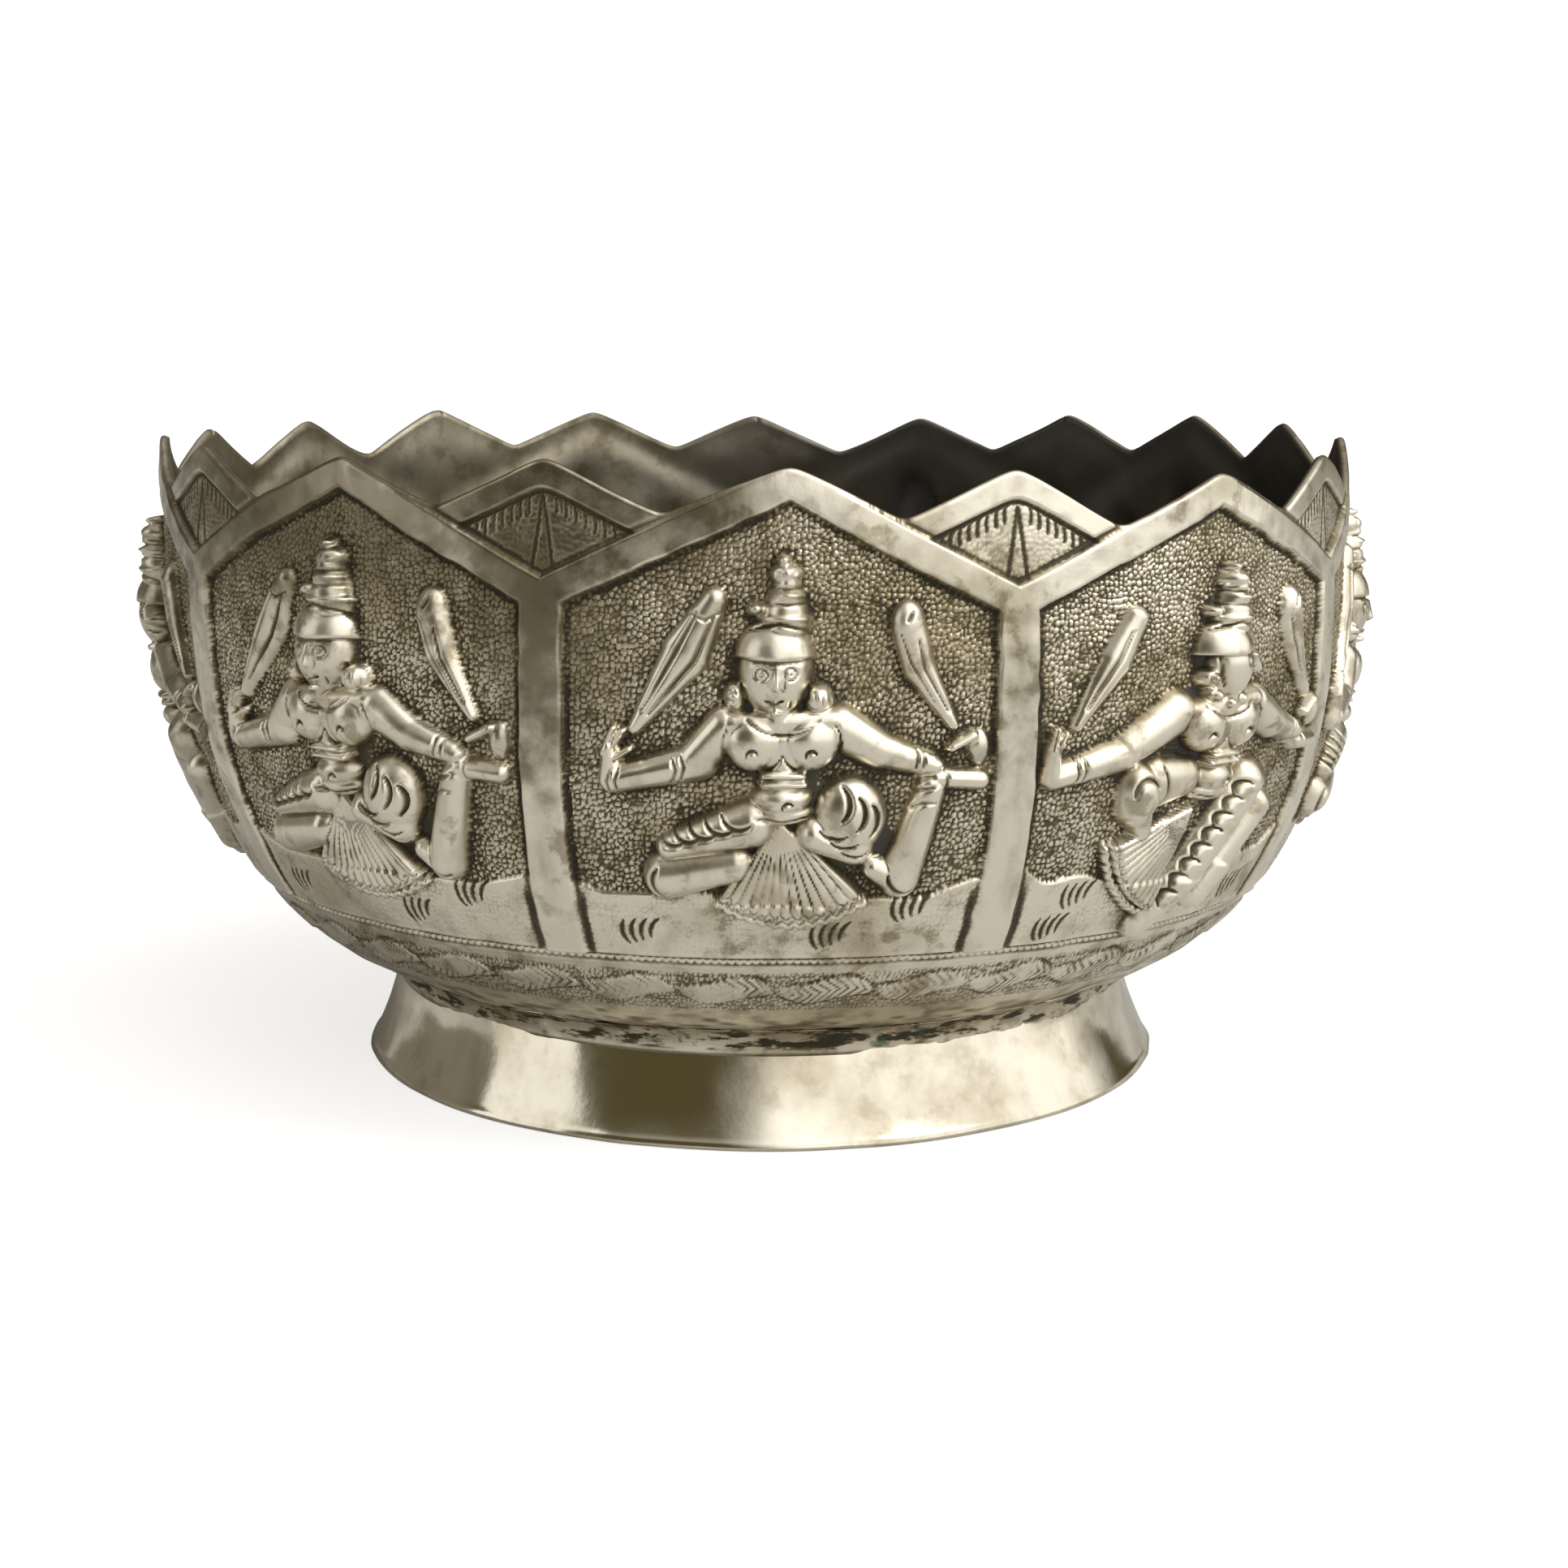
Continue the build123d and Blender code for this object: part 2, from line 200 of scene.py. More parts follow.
def warped(angle):
    return angle + rim["wobble"] * softNoise(angle / 10.0, angle * 0.0, 11, 36)


def rimHeight(angle):
    x = np.abs((warped(angle) + 10.0) % 20.0 - 10.0) / 10.0 * rim["run"]
    far = rim["run"] - x
    drop = np.hypot(x, rim["tipSoft"]) - (np.hypot(far, rim["notchSoft"]) - far)
    bumps = rim["uneven"] * softNoise(angle / 7.5, angle * 0.0, 12, 48)
    return meridian["tip"][1] + rim["rise"] - rim["slope"] * drop + bumps


# the bowl is bent a little out of round: stops in degrees from the front, in millimetres and degrees
sway = {"out": {-120: 1.2, -100: 1.6, -80: 1.7, -60: 1.6, -40: 0.5, 0: 0.0, 20: 0.2, 40: 0.9, 60: 0.8,
                80: 0.0, 100: -0.9, 120: -0.4},
        "up": {-140: 0.6, -120: -0.5, -80: 0.0, -40: 0.0, -20: 0.6, 0: 0.0, 20: -0.2, 40: -1.2, 60: 0.0,
               100: 1.0, 140: 0.6, 160: -0.4, 180: -0.5},
        "turn": {-160: -0.5, -60: 0.0, -20: 0.55, 0: 0.3, 20: -0.5, 60: 0.0, 120: 0.0, 160: -0.8}}
swayReach = {"soft": 7.0, "out": (18.5, 50.0), "up": (34.0, 55.0)}


def swayed(name, around):
    stops = sorted(sway[name].items())
    at = [stop[0] for stop in stops]
    by = [stop[1] for stop in stops]
    soft = swayReach["soft"]
    near = [np.interp(around + step, at, by, period=360.0) for step in (-soft, 0.0, 0.0, soft)]
    return sum(near) / 4.0


# the two seated figures, as (across, height) in millimetres from each panel's middle line
headForms = {
    "domes": [
        ((0.1, 48.2), (1.3, 0.95), 2.0), ((-0.1, 49.2), (0.62, 0.5), 1.6), ((0.2, 46.75), (1.4, 0.4), 2.3),
        ((0.0, 45.1), (2.2, 0.55), 2.35), ((-2.1, 45.7), (0.8, 0.6), 1.4),
        ((-0.65, 41.2), (2.8, 3.45), 2.6),
        ((-3.5, 39.5), (0.95, 1.15), 1.7), ((2.5, 39.3), (1.3, 1.2), 1.8),
        ((-0.7, 39.15), (0.75, 0.35), 2.7),
        ((-0.65, 38.45), (0.65, 0.45), 2.35)],
    "caps": [((-0.65, 42.15), (3.05, 3.1), 2.62)],
    "limbs": [
        ((0.15, 47.8), (0.0, 44.8), (1.05, 2.05), (1.9, 2.15)),
        ((-0.4, 38.6), (-0.3, 37.4), (1.3, 1.4), (1.7, 1.6)),
        ((-0.6, 41.9), (-0.6, 40.3), (0.35, 0.55), (2.65, 3.05))],
    "cuts": [
        ([(-3.1, 40.4), (-2.95, 39.4), (-2.3, 38.5)], 0.14, 0.35),
        ([(1.8, 40.4), (1.7, 39.4), (1.1, 38.5)], 0.14, 0.35),
        ([(-3.6, 42.3), (-0.7, 42.0), (2.2, 42.3)], 0.12, 0.3),
        ([(-2.6, 44.2), (-0.4, 44.75), (1.5, 44.3), (2.3, 43.4)], 0.12, 0.35),
        ([(-1.0, 47.3), (0.2, 47.15), (1.4, 47.3)], 0.12, 0.35),
        ([(-1.5, 46.2), (0.2, 46.1), (1.8, 46.2)], 0.1, 0.3),
        (bow((-1.65, 41.2), 0.44, -90, 270, 15), 0.1, 0.3),
        (bow((0.4, 41.25), 0.44, -90, 270, 15), 0.1, 0.3),
        ([(-1.65, 41.2), (-1.6, 41.15)], 0.2, 0.25), ([(0.4, 41.25), (0.45, 41.2)], 0.2, 0.25),
        ([(-0.05, 41.0), (0.0, 40.3), (-0.2, 39.95)], 0.09, 0.25),
        ([(-2.4, 41.9), (-1.6, 42.05), (-0.9, 41.75)], 0.09, 0.2),
        ([(-0.2, 41.8), (0.5, 42.05), (1.2, 41.9)], 0.09, 0.2),
        ([(-1.4, 39.3), (-0.7, 39.1), (0.0, 39.35)], 0.13, 0.45), ([(0.5, 39.4), (0.35, 38.7)], 0.1, 0.25),
        ([(-4.2, 40.1), (-3.3, 39.7)], 0.1, 0.3), ([(-4.2, 39.3), (-3.3, 39.2)], 0.1, 0.3),
        ([(2.2, 39.9), (2.3, 38.8)], 0.09, 0.25), ([(2.7, 40.0), (2.85, 38.7)], 0.09, 0.25),
        ([(3.25, 39.8), (3.4, 38.9)], 0.09, 0.25), (bow((-0.4, 48.2), 0.25, 0, 360, 9), 0.08, 0.25),
        (bow((0.75, 48.15), 0.25, 0, 360, 9), 0.08, 0.25)]}

headTurned = {
    "domes": headForms["domes"][:5] + [
        ((-0.3, 41.1), (2.4, 3.3), 2.5), ((1.95, 40.9), (0.7, 0.6), 2.0), ((-2.7, 40.3), (0.85, 0.85), 2.0),
        ((-2.3, 38.9), (0.85, 0.8), 2.0), ((-0.9, 38.2), (0.85, 0.75), 2.1),
        ((0.6, 38.4), (0.75, 0.7), 2.0)],
    "caps": headForms["caps"],
    "limbs": headForms["limbs"][:2] + [((1.2, 42.0), (1.8, 40.8), (0.5, 0.6), (2.3, 2.3))],
    "cuts": headForms["cuts"][3:6] + [
        (bow((0.6, 41.5), 0.42, 0, 360, 13), 0.09, 0.25),
        ([(0.0, 42.1), (0.6, 42.25), (1.3, 42.1)], 0.1, 0.25),
        ([(0.5, 39.9), (1.2, 39.7), (1.7, 39.8)], 0.1, 0.35),
        (bow((-2.7, 40.3), 0.4, 30, 330, 9), 0.09, 0.3),
        (bow((-2.3, 38.9), 0.4, 30, 330, 9), 0.09, 0.3), (bow((-0.9, 38.2), 0.38, 30, 330, 9), 0.09, 0.3),
        ([(-2.0, 42.0), (-1.9, 40.6), (-1.5, 39.4)], 0.12, 0.35)]}

chestForms = {
    "domes": [
        ((-2.15, 36.2), (2.2, 2.15), 2.2, 0.4), ((2.0, 36.2), (2.2, 2.15), 2.2, 0.4),
        ((0.0, 32.1), (2.4, 1.35), 2.1),
        ((0.0, 31.0), (2.6, 1.0), 1.7)],
    "limbs": [
        ((-3.6, 37.5), (3.6, 37.8), (1.1, 1.1), (1.6, 1.6)),
        ((0.0, 36.0), (0.0, 33.4), (2.9, 1.8), (1.6, 1.6)),
        ((-1.4, 34.0), (1.5, 34.0), (0.42, 0.42), (2.0, 2.0)),
        ((-1.5, 33.35), (1.6, 33.35), (0.36, 0.36), (1.9, 1.9))],
    "cuts": [
        (bow((-2.2, 35.4), 0.42, 20, 190), 0.12, 0.4), (bow((2.0, 35.4), 0.42, 20, 190), 0.12, 0.4),
        (bow((0.4, 31.7), 0.4, 10, 190), 0.11, 0.4), (bow((-0.1, 40.4), 3.6, 225, 315, 11), 0.1, 0.3),
        (bow((-2.15, 36.2), 2.2, 150, 340, 11), 0.12, 0.35),
        (bow((2.0, 36.2), 2.2, 200, 400, 11), 0.12, 0.35),
        ([(-2.1, 30.9), (0.0, 30.5), (2.1, 30.9)], 0.12, 0.35)]}

leftArm = {
    "domes": [],
    "limbs": [
        ((-4.2, 37.1), (-6.4, 34.9), (1.75, 1.5), (1.6, 1.5)),
        ((-6.0, 34.7), (-12.6, 33.1), (1.5, 1.05), (1.5, 1.3)),
        ((-12.9, 33.2), (-12.7, 35.6), (0.8, 0.65), (1.3, 1.2)),
        ((-12.7, 35.4), (-11.7, 36.8), (0.42, 0.3), (1.2, 1.0)),
        ((-13.1, 35.2), (-12.4, 37.0), (0.38, 0.3), (1.2, 1.0)),
        ((-12.2, 34.9), (-11.2, 35.5), (0.4, 0.3), (1.1, 0.9)),
        ((-10.9, 37.0), (-7.2, 42.4), (0.6, 1.85), (0.8, 1.0)),
        ((-7.2, 42.4), (-5.2, 46.2), (1.85, 1.05), (1.0, 0.95))],
    "cuts": [
        ([(-7.4, 35.2), (-7.1, 34.4), (-7.4, 33.3)], 0.12, 0.35),
        ([(-8.0, 35.0), (-7.7, 34.2), (-8.0, 33.1)], 0.12, 0.35),
        ([(-12.0, 34.1), (-12.2, 33.3), (-12.1, 32.4)], 0.12, 0.35),
        ([(-12.6, 34.0), (-12.8, 33.2), (-12.7, 32.4)], 0.12, 0.35),
        ([(-10.3, 38.3), (-8.1, 42.2), (-6.4, 45.4)], 0.16, 0.35),
        ([(-9.9, 38.0), (-6.6, 41.9), (-5.2, 45.0)], 0.16, 0.35),
        ([(-6.9, 45.3), (-5.8, 44.8), (-4.8, 45.3)], 0.1, 0.3),
        ([(-12.5, 36.2), (-12.2, 34.9)], 0.09, 0.3)]}

leftArmB = {
    "domes": [],
    "limbs": [
        ((-4.0, 37.0), (-8.6, 34.5), (1.9, 1.5), (1.6, 1.5)),
        ((-8.8, 34.2), (-15.2, 32.8), (1.45, 1.05), (1.5, 1.3)),
        ((-15.4, 32.8), (-15.3, 35.0), (0.8, 0.7), (1.3, 1.2)),
        ((-15.2, 34.9), (-14.4, 36.2), (0.42, 0.3), (1.2, 1.0)),
        ((-15.6, 34.9), (-15.1, 36.5), (0.38, 0.3), (1.2, 1.0)),
        ((-13.4, 36.6), (-10.0, 41.4), (0.55, 1.45), (0.8, 1.1)),
        ((-10.0, 41.4), (-8.2, 44.8), (1.45, 1.05), (1.1, 1.0))],
    "cuts": [
        ([(-13.6, 34.2), (-13.4, 33.2), (-13.6, 32.2)], 0.12, 0.35),
        ([(-13.0, 34.3), (-12.8, 33.4), (-13.0, 32.3)], 0.12, 0.35),
        ([(-15.2, 35.6), (-15.0, 34.4)], 0.1, 0.3), ([(-14.8, 35.3), (-14.7, 34.3)], 0.1, 0.3),
        ([(-12.8, 37.8), (-10.2, 41.6), (-9.0, 43.8)], 0.16, 0.3)]}

rightArm = {
    "domes": [
        ((11.3, 34.3), (1.0, 0.8), 1.3), ((14.9, 35.5), (0.9, 1.5), 0.9), ((9.3, 44.6), (1.4, 1.9), 1.25)],
    "limbs": [
        ((4.2, 37.2), (7.2, 35.5), (1.8, 1.5), (1.6, 1.5)),
        ((7.0, 35.6), (11.0, 34.4), (1.45, 1.0), (1.5, 1.3)),
        ((11.6, 33.4), (15.0, 33.1), (0.9, 0.9), (1.3, 1.2)),
        ((12.6, 35.6), (14.3, 36.4), (0.45, 0.55), (1.1, 1.1)),
        ((12.8, 37.2), (10.1, 41.6), (0.5, 1.35), (0.8, 1.1)),
        ((10.1, 41.6), (9.4, 44.2), (1.35, 1.45), (1.1, 1.2))],
    "cuts": [
        ([(10.0, 35.6), (9.8, 34.3)], 0.1, 0.35), ([(10.5, 35.4), (10.3, 34.0)], 0.1, 0.35),
        ([(12.3, 38.2), (10.4, 41.4), (9.9, 43.6)], 0.13, 0.3), ([(12.2, 34.2), (12.3, 32.6)], 0.1, 0.3),
        ([(11.3, 38.9), (9.4, 41.8), (8.6, 44.0)], 0.12, 0.25), ([(9.0, 44.8), (9.5, 45.6)], 0.12, 0.3),
        (bow((14.4, 35.4), 0.6, 100, 260), 0.1, 0.3)]}

legsA = {
    "domes": [((5.1, 30.5), (2.9, 3.2), 2.3)],
    "limbs": [
        ((-2.2, 30.1), (-8.4, 28.2), (2.0, 1.1), (2.0, 1.5)),
        ((-8.7, 25.9), (-3.4, 27.0), (1.9, 1.6), (2.0, 1.8)),
        ((2.4, 29.4), (5.6, 28.4), (1.5, 1.7), (2.0, 1.9)),
        ((11.2, 32.6), (9.3, 25.8), (1.3, 1.75), (1.6, 1.9)),
        ((9.1, 25.6), (7.2, 26.5), (1.4, 1.0), (1.6, 1.2))],
    "cuts": [
        (bow((-8.5, 25.9), 1.15, 130, 245, 8), 0.17, 0.5), (bow((9.4, 26.2), 1.2, 175, 300, 8), 0.17, 0.5),
        ([(10.0, 32.6), (11.4, 33.0)], 0.1, 0.35), ([(9.6, 31.2), (10.4, 31.8), (11.3, 31.8)], 0.1, 0.3)]
        + [(bow((-3.2 - k, 31.3 - 0.3 * k), 1.3, 200, 320, 7), 0.16, 0.45)
           for k in (0.0, 1.25, 2.5, 3.7, 4.8)]
        + [(bow((3.5 + k, 31.9 - 0.55 * k), 1.4, -55, 50, 7), 0.17, 0.5) for k in (0.0, 1.15, 2.2)]
        + [(bow((3.9 + k, 30.8 - 0.9 * k), 1.4, 215, 310, 6), 0.12, 0.35) for k in (0.0, 0.8, 1.6)]}

legsB = {
    "domes": [((-7.3, 30.9), (1.95, 2.6), 2.3)],
    "limbs": [
        ((-5.4, 31.6), (-2.6, 31.8), (2.2, 1.8), (1.7, 1.5)),
        ((-6.8, 29.2), (-6.0, 27.4), (1.3, 0.9), (1.8, 1.2)),
        ((5.4, 30.6), (0.6, 23.8), (2.0, 1.95), (2.1, 2.0)),
        ((0.6, 23.8), (-2.9, 19.8), (1.95, 1.4), (2.0, 1.5)),
        ((8.4, 28.2), (3.6, 21.4), (1.5, 1.3), (1.7, 1.5))],
    "cuts": [
        (bow((-7.2, 31.2), 1.15, 20, 185, 9), 0.16, 0.5),
        ([(-5.4, 33.0), (-5.0, 31.0), (-5.8, 29.0)], 0.14, 0.4),
        ([(6.0, 27.0), (2.4, 22.2), (-1.6, 19.4)], 0.14, 0.4)]
        + [(bow((4.3 - 0.8 * k, 30.0 - 1.15 * k), 0.95, 60, 195, 7), 0.15, 0.42) for k in range(8)]}


def moved(forms, across, up):
    def shift(spot):
        return (spot[0] + across, spot[1] + up)
    return {"domes": [(shift(d[0]),) + tuple(d[1:]) for d in forms["domes"]],
            "caps": [(shift(d[0]),) + tuple(d[1:]) for d in forms.get("caps", [])],
            "limbs": [(shift(m[0]), shift(m[1])) + tuple(m[2:]) for m in forms["limbs"]],
            "cuts": [([shift(spot) for spot in c[0]],) + tuple(c[1:]) for c in forms["cuts"]]}


poseA = {"parts": [headForms, chestForms, leftArm, rightArm, legsA],
         "fan": {"apex": (-0.1, 30.6), "radius": 7.6, "spread": 1.4, "from": -38.0, "to": 48.0, "pleats": 13},
         "grass": [(-11.9, 20.7), (3.6, 20.5), (10.0, 22.7)], "mound": 0.7}
poseB = {"parts": [moved(headTurned, 1.3, -0.7), moved(chestForms, 0.6, -0.4), leftArmB,
                   moved(rightArm, 0.8, -0.4), legsB],
         "fan": {"apex": (-0.6, 29.6), "radius": 8.6, "spread": 0.0, "from": -74.0, "to": -14.0,
                 "pleats": 11},
         "grass": [(-11.2, 22.6), (-13.0, 19.9), (10.2, 20.6)], "mound": 1.3}

relief = {"strapHalf": 1.65, "gable": 2.4, "gableDrop": 0.43, "slant": 0.901, "frame": 0.6, "overFrame": 0.75,
          "petal": 0.3, "petalBorder": 1.9, "soft": 0.18, "ground": 24.1, "groundRise": 0.35,
          "strapFoot": 18.8, "matting": 0.19, "mattingCell": 0.43, "punch": 0.05, "punchCell": 0.42,
          "chased": 0.11, "unroll": 52.0}
skirt = {"rise": 0.85, "swell": 0.45, "flat": 0.86, "pleat": 0.14, "hem": 0.25, "border": 0.75,
         "borderRise": 0.8, "fold": 0.2, "foldWidth": 0.07, "loop": 0.24, "loopDepth": 0.3,
         "loopWidth": 0.09, "loopUp": 0.45}
beads = {"height": 18.35, "pitch": 0.62, "around": 45.9, "rise": 0.28, "railRise": 0.12, "railAt": 0.62,
         "railWidth": 0.15, "grooveAt": 0.38, "grooveWidth": 0.12}
leaves = {"pitch": 7.33, "around": 42.0, "down": 3.0, "half": (3.5, 1.5), "rise": 0.15, "sunk": 0.03}
perRadian = 57.3


def figureRelief(u, z, pose):
    fan = pose["fan"]
    radius = np.hypot(u - fan["apex"][0], fan["apex"][1] - z)
    angle = np.degrees(np.arctan2(u - fan["apex"][0], fan["apex"][1] - z))
    share = np.clip((angle - fan["from"]) / (fan["to"] - fan["from"]), 0.0, 1.0)
    pleat = np.abs(np.sin(math.pi * fan["pleats"] * share))
    side = ramp(np.minimum(angle - fan["from"], fan["to"] - angle) * radius / perRadian, 0.0, 0.3)
    reach = fan["radius"] + fan["spread"] * share ** 2
    hem = reach + skirt["hem"] * pleat
    cloth = skirt["rise"] + skirt["swell"] * np.clip(radius / reach, 0.0, 1.0)
    cloth = cloth * (skirt["flat"] + skirt["pleat"] * pleat ** 0.6)
    rise = cloth * side * ramp(hem - radius, 0.0, 0.25)
    border = skirt["borderRise"] * side * ramp(hem + skirt["border"] - radius, 0.0, 0.2)
    rise = np.maximum(rise, border * ramp(radius, hem, hem + 0.2))
    for forms in pose["parts"]:
        for shape in forms["domes"]:
            rise = np.maximum(rise, dome(u, z, *shape))
        for a, b, radii, heights in forms["limbs"]:
            rise = np.maximum(rise, limb(u, z, a, b, radii, heights))
        for shape in forms.get("caps", []):
            rise = np.maximum(rise, dome(u, z, *shape) * ramp(z, shape[0][1] - 0.1, shape[0][1] + 0.1))
    pleatGap = (fan["to"] - fan["from"]) / fan["pleats"] * radius / perRadian
    fold = (fan["pleats"] * share) % 1.0
    fold = np.minimum(fold, 1.0 - fold) * pleatGap
    cut = skirt["fold"] * np.exp(-(fold / skirt["foldWidth"]) ** 2) * side
    cut = cut * ramp(radius, 2.2, 3.2) * ramp(hem - radius, 0.3, 0.6)
    loops = np.hypot(((fan["pleats"] * share) % 1.0 - 0.5) * pleatGap, radius - reach + skirt["loopUp"])
    loopCut = skirt["loopDepth"] * np.exp(-((loops - skirt["loop"]) / skirt["loopWidth"]) ** 2)
    cut = np.maximum(cut, loopCut * side * (radius > reach - 0.5))
    for forms in pose["parts"]:
        for points, width, depth in forms["cuts"]:
            cut = np.maximum(cut, depth * stroke(u, z, points, width))
    return rise, cut * ramp(rise, 0.0, 0.4)


def panelRelief(angle, turn, s, pose):
    r, z = onPath(s, 0.0)
    around = angle + turn
    away = np.abs((warped(around) + 20.0) % 40.0 - 20.0)
    rimZ = rimHeight(around)
    toStrap = np.radians(20.0 - away) * r
    below = (meridian["tip"][1] - relief["gableDrop"] * away - z) * relief["slant"]
    toRim = (rimZ - z) * relief["slant"]
    strapFoot = relief["strapFoot"]
    strap = relief["strapHalf"] - toStrap
    uneven = 0.1 * softNoise(around / 1.6, z / 1.4, 22, 225)
    inside = np.minimum(below, np.maximum(strap, relief["gable"] - below) + uneven)
    shown = ramp(z, strapFoot - 0.2, strapFoot + 0.2)
    fading = 0.65 + 0.5 * softNoise(around / 3.0, z / 2.6, 23, 120)
    raised = ramp(inside, -relief["soft"], relief["soft"]) * shown
    height = relief["frame"] * raised
    groove = np.clip(fading, 0.15, 1.0) * np.exp(-((inside + 0.28) / 0.17) ** 2) * shown
    slit = np.exp(-((inside + 0.5) / 0.3) ** 2) * ramp(25.0 - z, 0.0, 2.0) * shown
    groove = np.maximum(groove, 0.9 * slit)
    petal = ramp(-below, -0.1, 0.2)
    border = ramp(relief["petalBorder"] - toRim, -0.14, 0.14)
    height = height + petal * (relief["petal"] * border + 0.04)
    groove = np.maximum(groove, petal * np.exp(-((relief["petalBorder"] + 0.2 - toRim) / 0.16) ** 2))
    wedgeHalf = 0.8 * np.clip((53.2 - z) / 5.2, 0.0, 1.2)
    wedgeLine = np.exp(-((toStrap - wedgeHalf) / 0.16) ** 2) * ramp(53.4 - z, 0.0, 0.4)
    ticks = np.abs((toStrap / 0.72 + 0.4 * (toRim - 2.8) ** 2) % 1.0 - 0.5) * 0.72
    tick = np.exp(-(ticks / 0.13) ** 2) * ramp(toRim, 2.15, 2.35) * ramp(3.5 - toRim, 0.0, 0.3)
    inPetal = petal * (1.0 - border)
    groove = np.maximum(groove, inPetal * np.maximum(wedgeLine, tick * ramp(toStrap, 0.7, 1.0)))

    u = np.radians(angle) * relief["unroll"]
    hills = relief["ground"] + 0.45 * softNoise((around + 40.0) / 4.0, z * 0.0, 21, 90)
    hills = hills + pose["mound"] * np.exp(-((toStrap - 1.6) / 1.7) ** 2)
    panel = (1.0 - raised) * (1.0 - petal)
    ground = ramp(hills - z, -0.15, 0.15) * ramp(z, strapFoot - 0.3, strapFoot + 0.3) * panel
    height = height + relief["groundRise"] * ground
    rise, cut = figureRelief(u, z, pose)
    clear = 1.0 - relief["overFrame"] * raised
    rise = rise * clear * (1.0 - petal)
    figure = ramp(rise, 0.04, 0.3)
    height = np.maximum(height, relief["groundRise"] * ground * 0.6 + rise) - cut * clear
    field = panel * (1.0 - figure) * ramp(z, strapFoot + 0.2, strapFoot + 0.5)
    cell = relief["mattingCell"]
    unrolled = np.radians(around) * relief["unroll"]
    stones = cobble(unrolled / cell, z / cell, 31)
    punch = cobble(unrolled / relief["punchCell"], z / relief["punchCell"], 32)
    matted = field * (1.0 - ground)
    height = height + relief["matting"] * matted * (stones - 0.5)
    height = height + relief["punch"] * field * ground * (punch - 0.5)
    height = height + relief["punch"] * inPetal * (punch - 0.5)
    crack = matted * dirtBetween(stones, 0.95)
    crack = np.maximum(crack, np.maximum(0.4 * inPetal, 0.3 * field * ground) * dirtBetween(punch, 0.95))

    blades = np.zeros(u.shape)
    for centre in pose["grass"]:
        for k in range(4):
            hub = (centre[0] + 0.78 * k + 0.6, centre[1] + 0.4 - 0.1 * k)
            blades = np.maximum(blades, stroke(u, z, bow(hub, 1.5, 232 - 14 * k, 146 - 10 * k), 0.15))
    groove = np.maximum(groove, blades * field)

    bead = beads["pitch"] / 2.0
    beadU = (np.radians(around) * beads["around"]) % beads["pitch"] - bead
    beadS = s - runAtZ(beads["height"])
    height = height + beads["rise"] * np.clip(1.0 - (beadU ** 2 + beadS ** 2) / bead ** 2, 0.0, 1.0) ** 0.5
    rail = np.exp(-((np.abs(beadS) - beads["railAt"]) / beads["railWidth"]) ** 2)
    height = height + beads["railRise"] * rail
    beadGroove = np.exp(-((np.abs(beadS) - beads["grooveAt"]) / beads["grooveWidth"]) ** 2)
    groove = np.maximum(groove, 0.9 * beadGroove)

    fromHip = runAtZ(meridian["hip"][1]) - s
    leafPitch = leaves["pitch"]
    leafX = (np.radians(around) * leaves["around"]) / leafPitch % 1.0 * leafPitch - leafPitch / 2.0
    leafY = fromHip - leaves["down"] + 0.5 * np.sin(leafX * 0.9)
    leafQ = (leafX / leaves["half"][0]) ** 2 + (leafY / leaves["half"][1]) ** 2
    leaf = ramp(1.0 - leafQ, -0.1, 0.25)
    veins = np.abs((leafX * 1.5 + np.abs(leafY) * 1.1) % 1.0 - 0.5)
    worn = np.clip(0.55 + 0.9 * softNoise(around / 2.2, fromHip / 1.6, 43, 164), 0.05, 1.0)
    band = ramp(fromHip, 0.6, 0.9) * ramp(6.6 - fromHip, 0.0, 0.8)
    height = height + band * (leaves["rise"] * leaf - leaves["sunk"])
    groove = np.maximum(groove, band * leaf * np.exp(-(veins / 0.15) ** 2) * 0.75 * worn)
    groove = np.maximum(groove, band * np.exp(-((leafQ - 1.15) / 0.14) ** 2) * 0.55 * worn)
    crack = np.maximum(crack, 0.75 * band * (1.0 - 0.7 * leaf) * dirtBetween(punch, 1.1))
    # the surface gets darker from 3 to 11 mm below the hip line, in mottled patches
    darkBelowHip = 0.4 + 0.6 * softNoise(around / 1.8, fromHip / 1.1, 44, 200)
    crack = np.maximum(crack, ramp(fromHip, 3.0, 11.0) * darkBelowHip)

    dents = 0.06 * softNoise(around / 4.0, z / 3.0, 41, 90) + 0.03 * softNoise(around / 1.5, z / 1.2, 42, 240)
    height = height - relief["chased"] * groove + dents
    return height, np.maximum(groove, cut * 1.6), crack, matted


panelGrid = {"columns": 248, "under": 82, "wall": 270, "lip": 3, "innerColumns": 62, "innerRows": 88}
rowZ = {"hip": 18.7, "bend": 43.0}
startS = float(np.interp(meridian["floorDisc"], pathR[:lowerCount], pathS[:lowerCount]))
hipS = float(runAtZ(rowZ["hip"]))
bendS = float(runAtZ(rowZ["bend"]))
tipS = float(runAtZ(meridian["tip"][1]))
rowRuns = np.concatenate([np.linspace(startS, hipS, panelGrid["under"] + 1),
                          np.linspace(hipS, tipS, panelGrid["wall"] + 1)[1:]])


def rowsToRim(runs, angle, short):
    top = runAtZ(rimHeight(angle)) - short
    share = np.clip((runs - bendS) / (tipS - bendS), 0.0, 1.0)
    return np.where(runs > bendS, bendS + share * (top - bendS), runs)


def meshFrom(name, built):
    mesh = bpy.data.meshes.new(name)
    built.to_mesh(mesh)
    built.free()
    return mesh


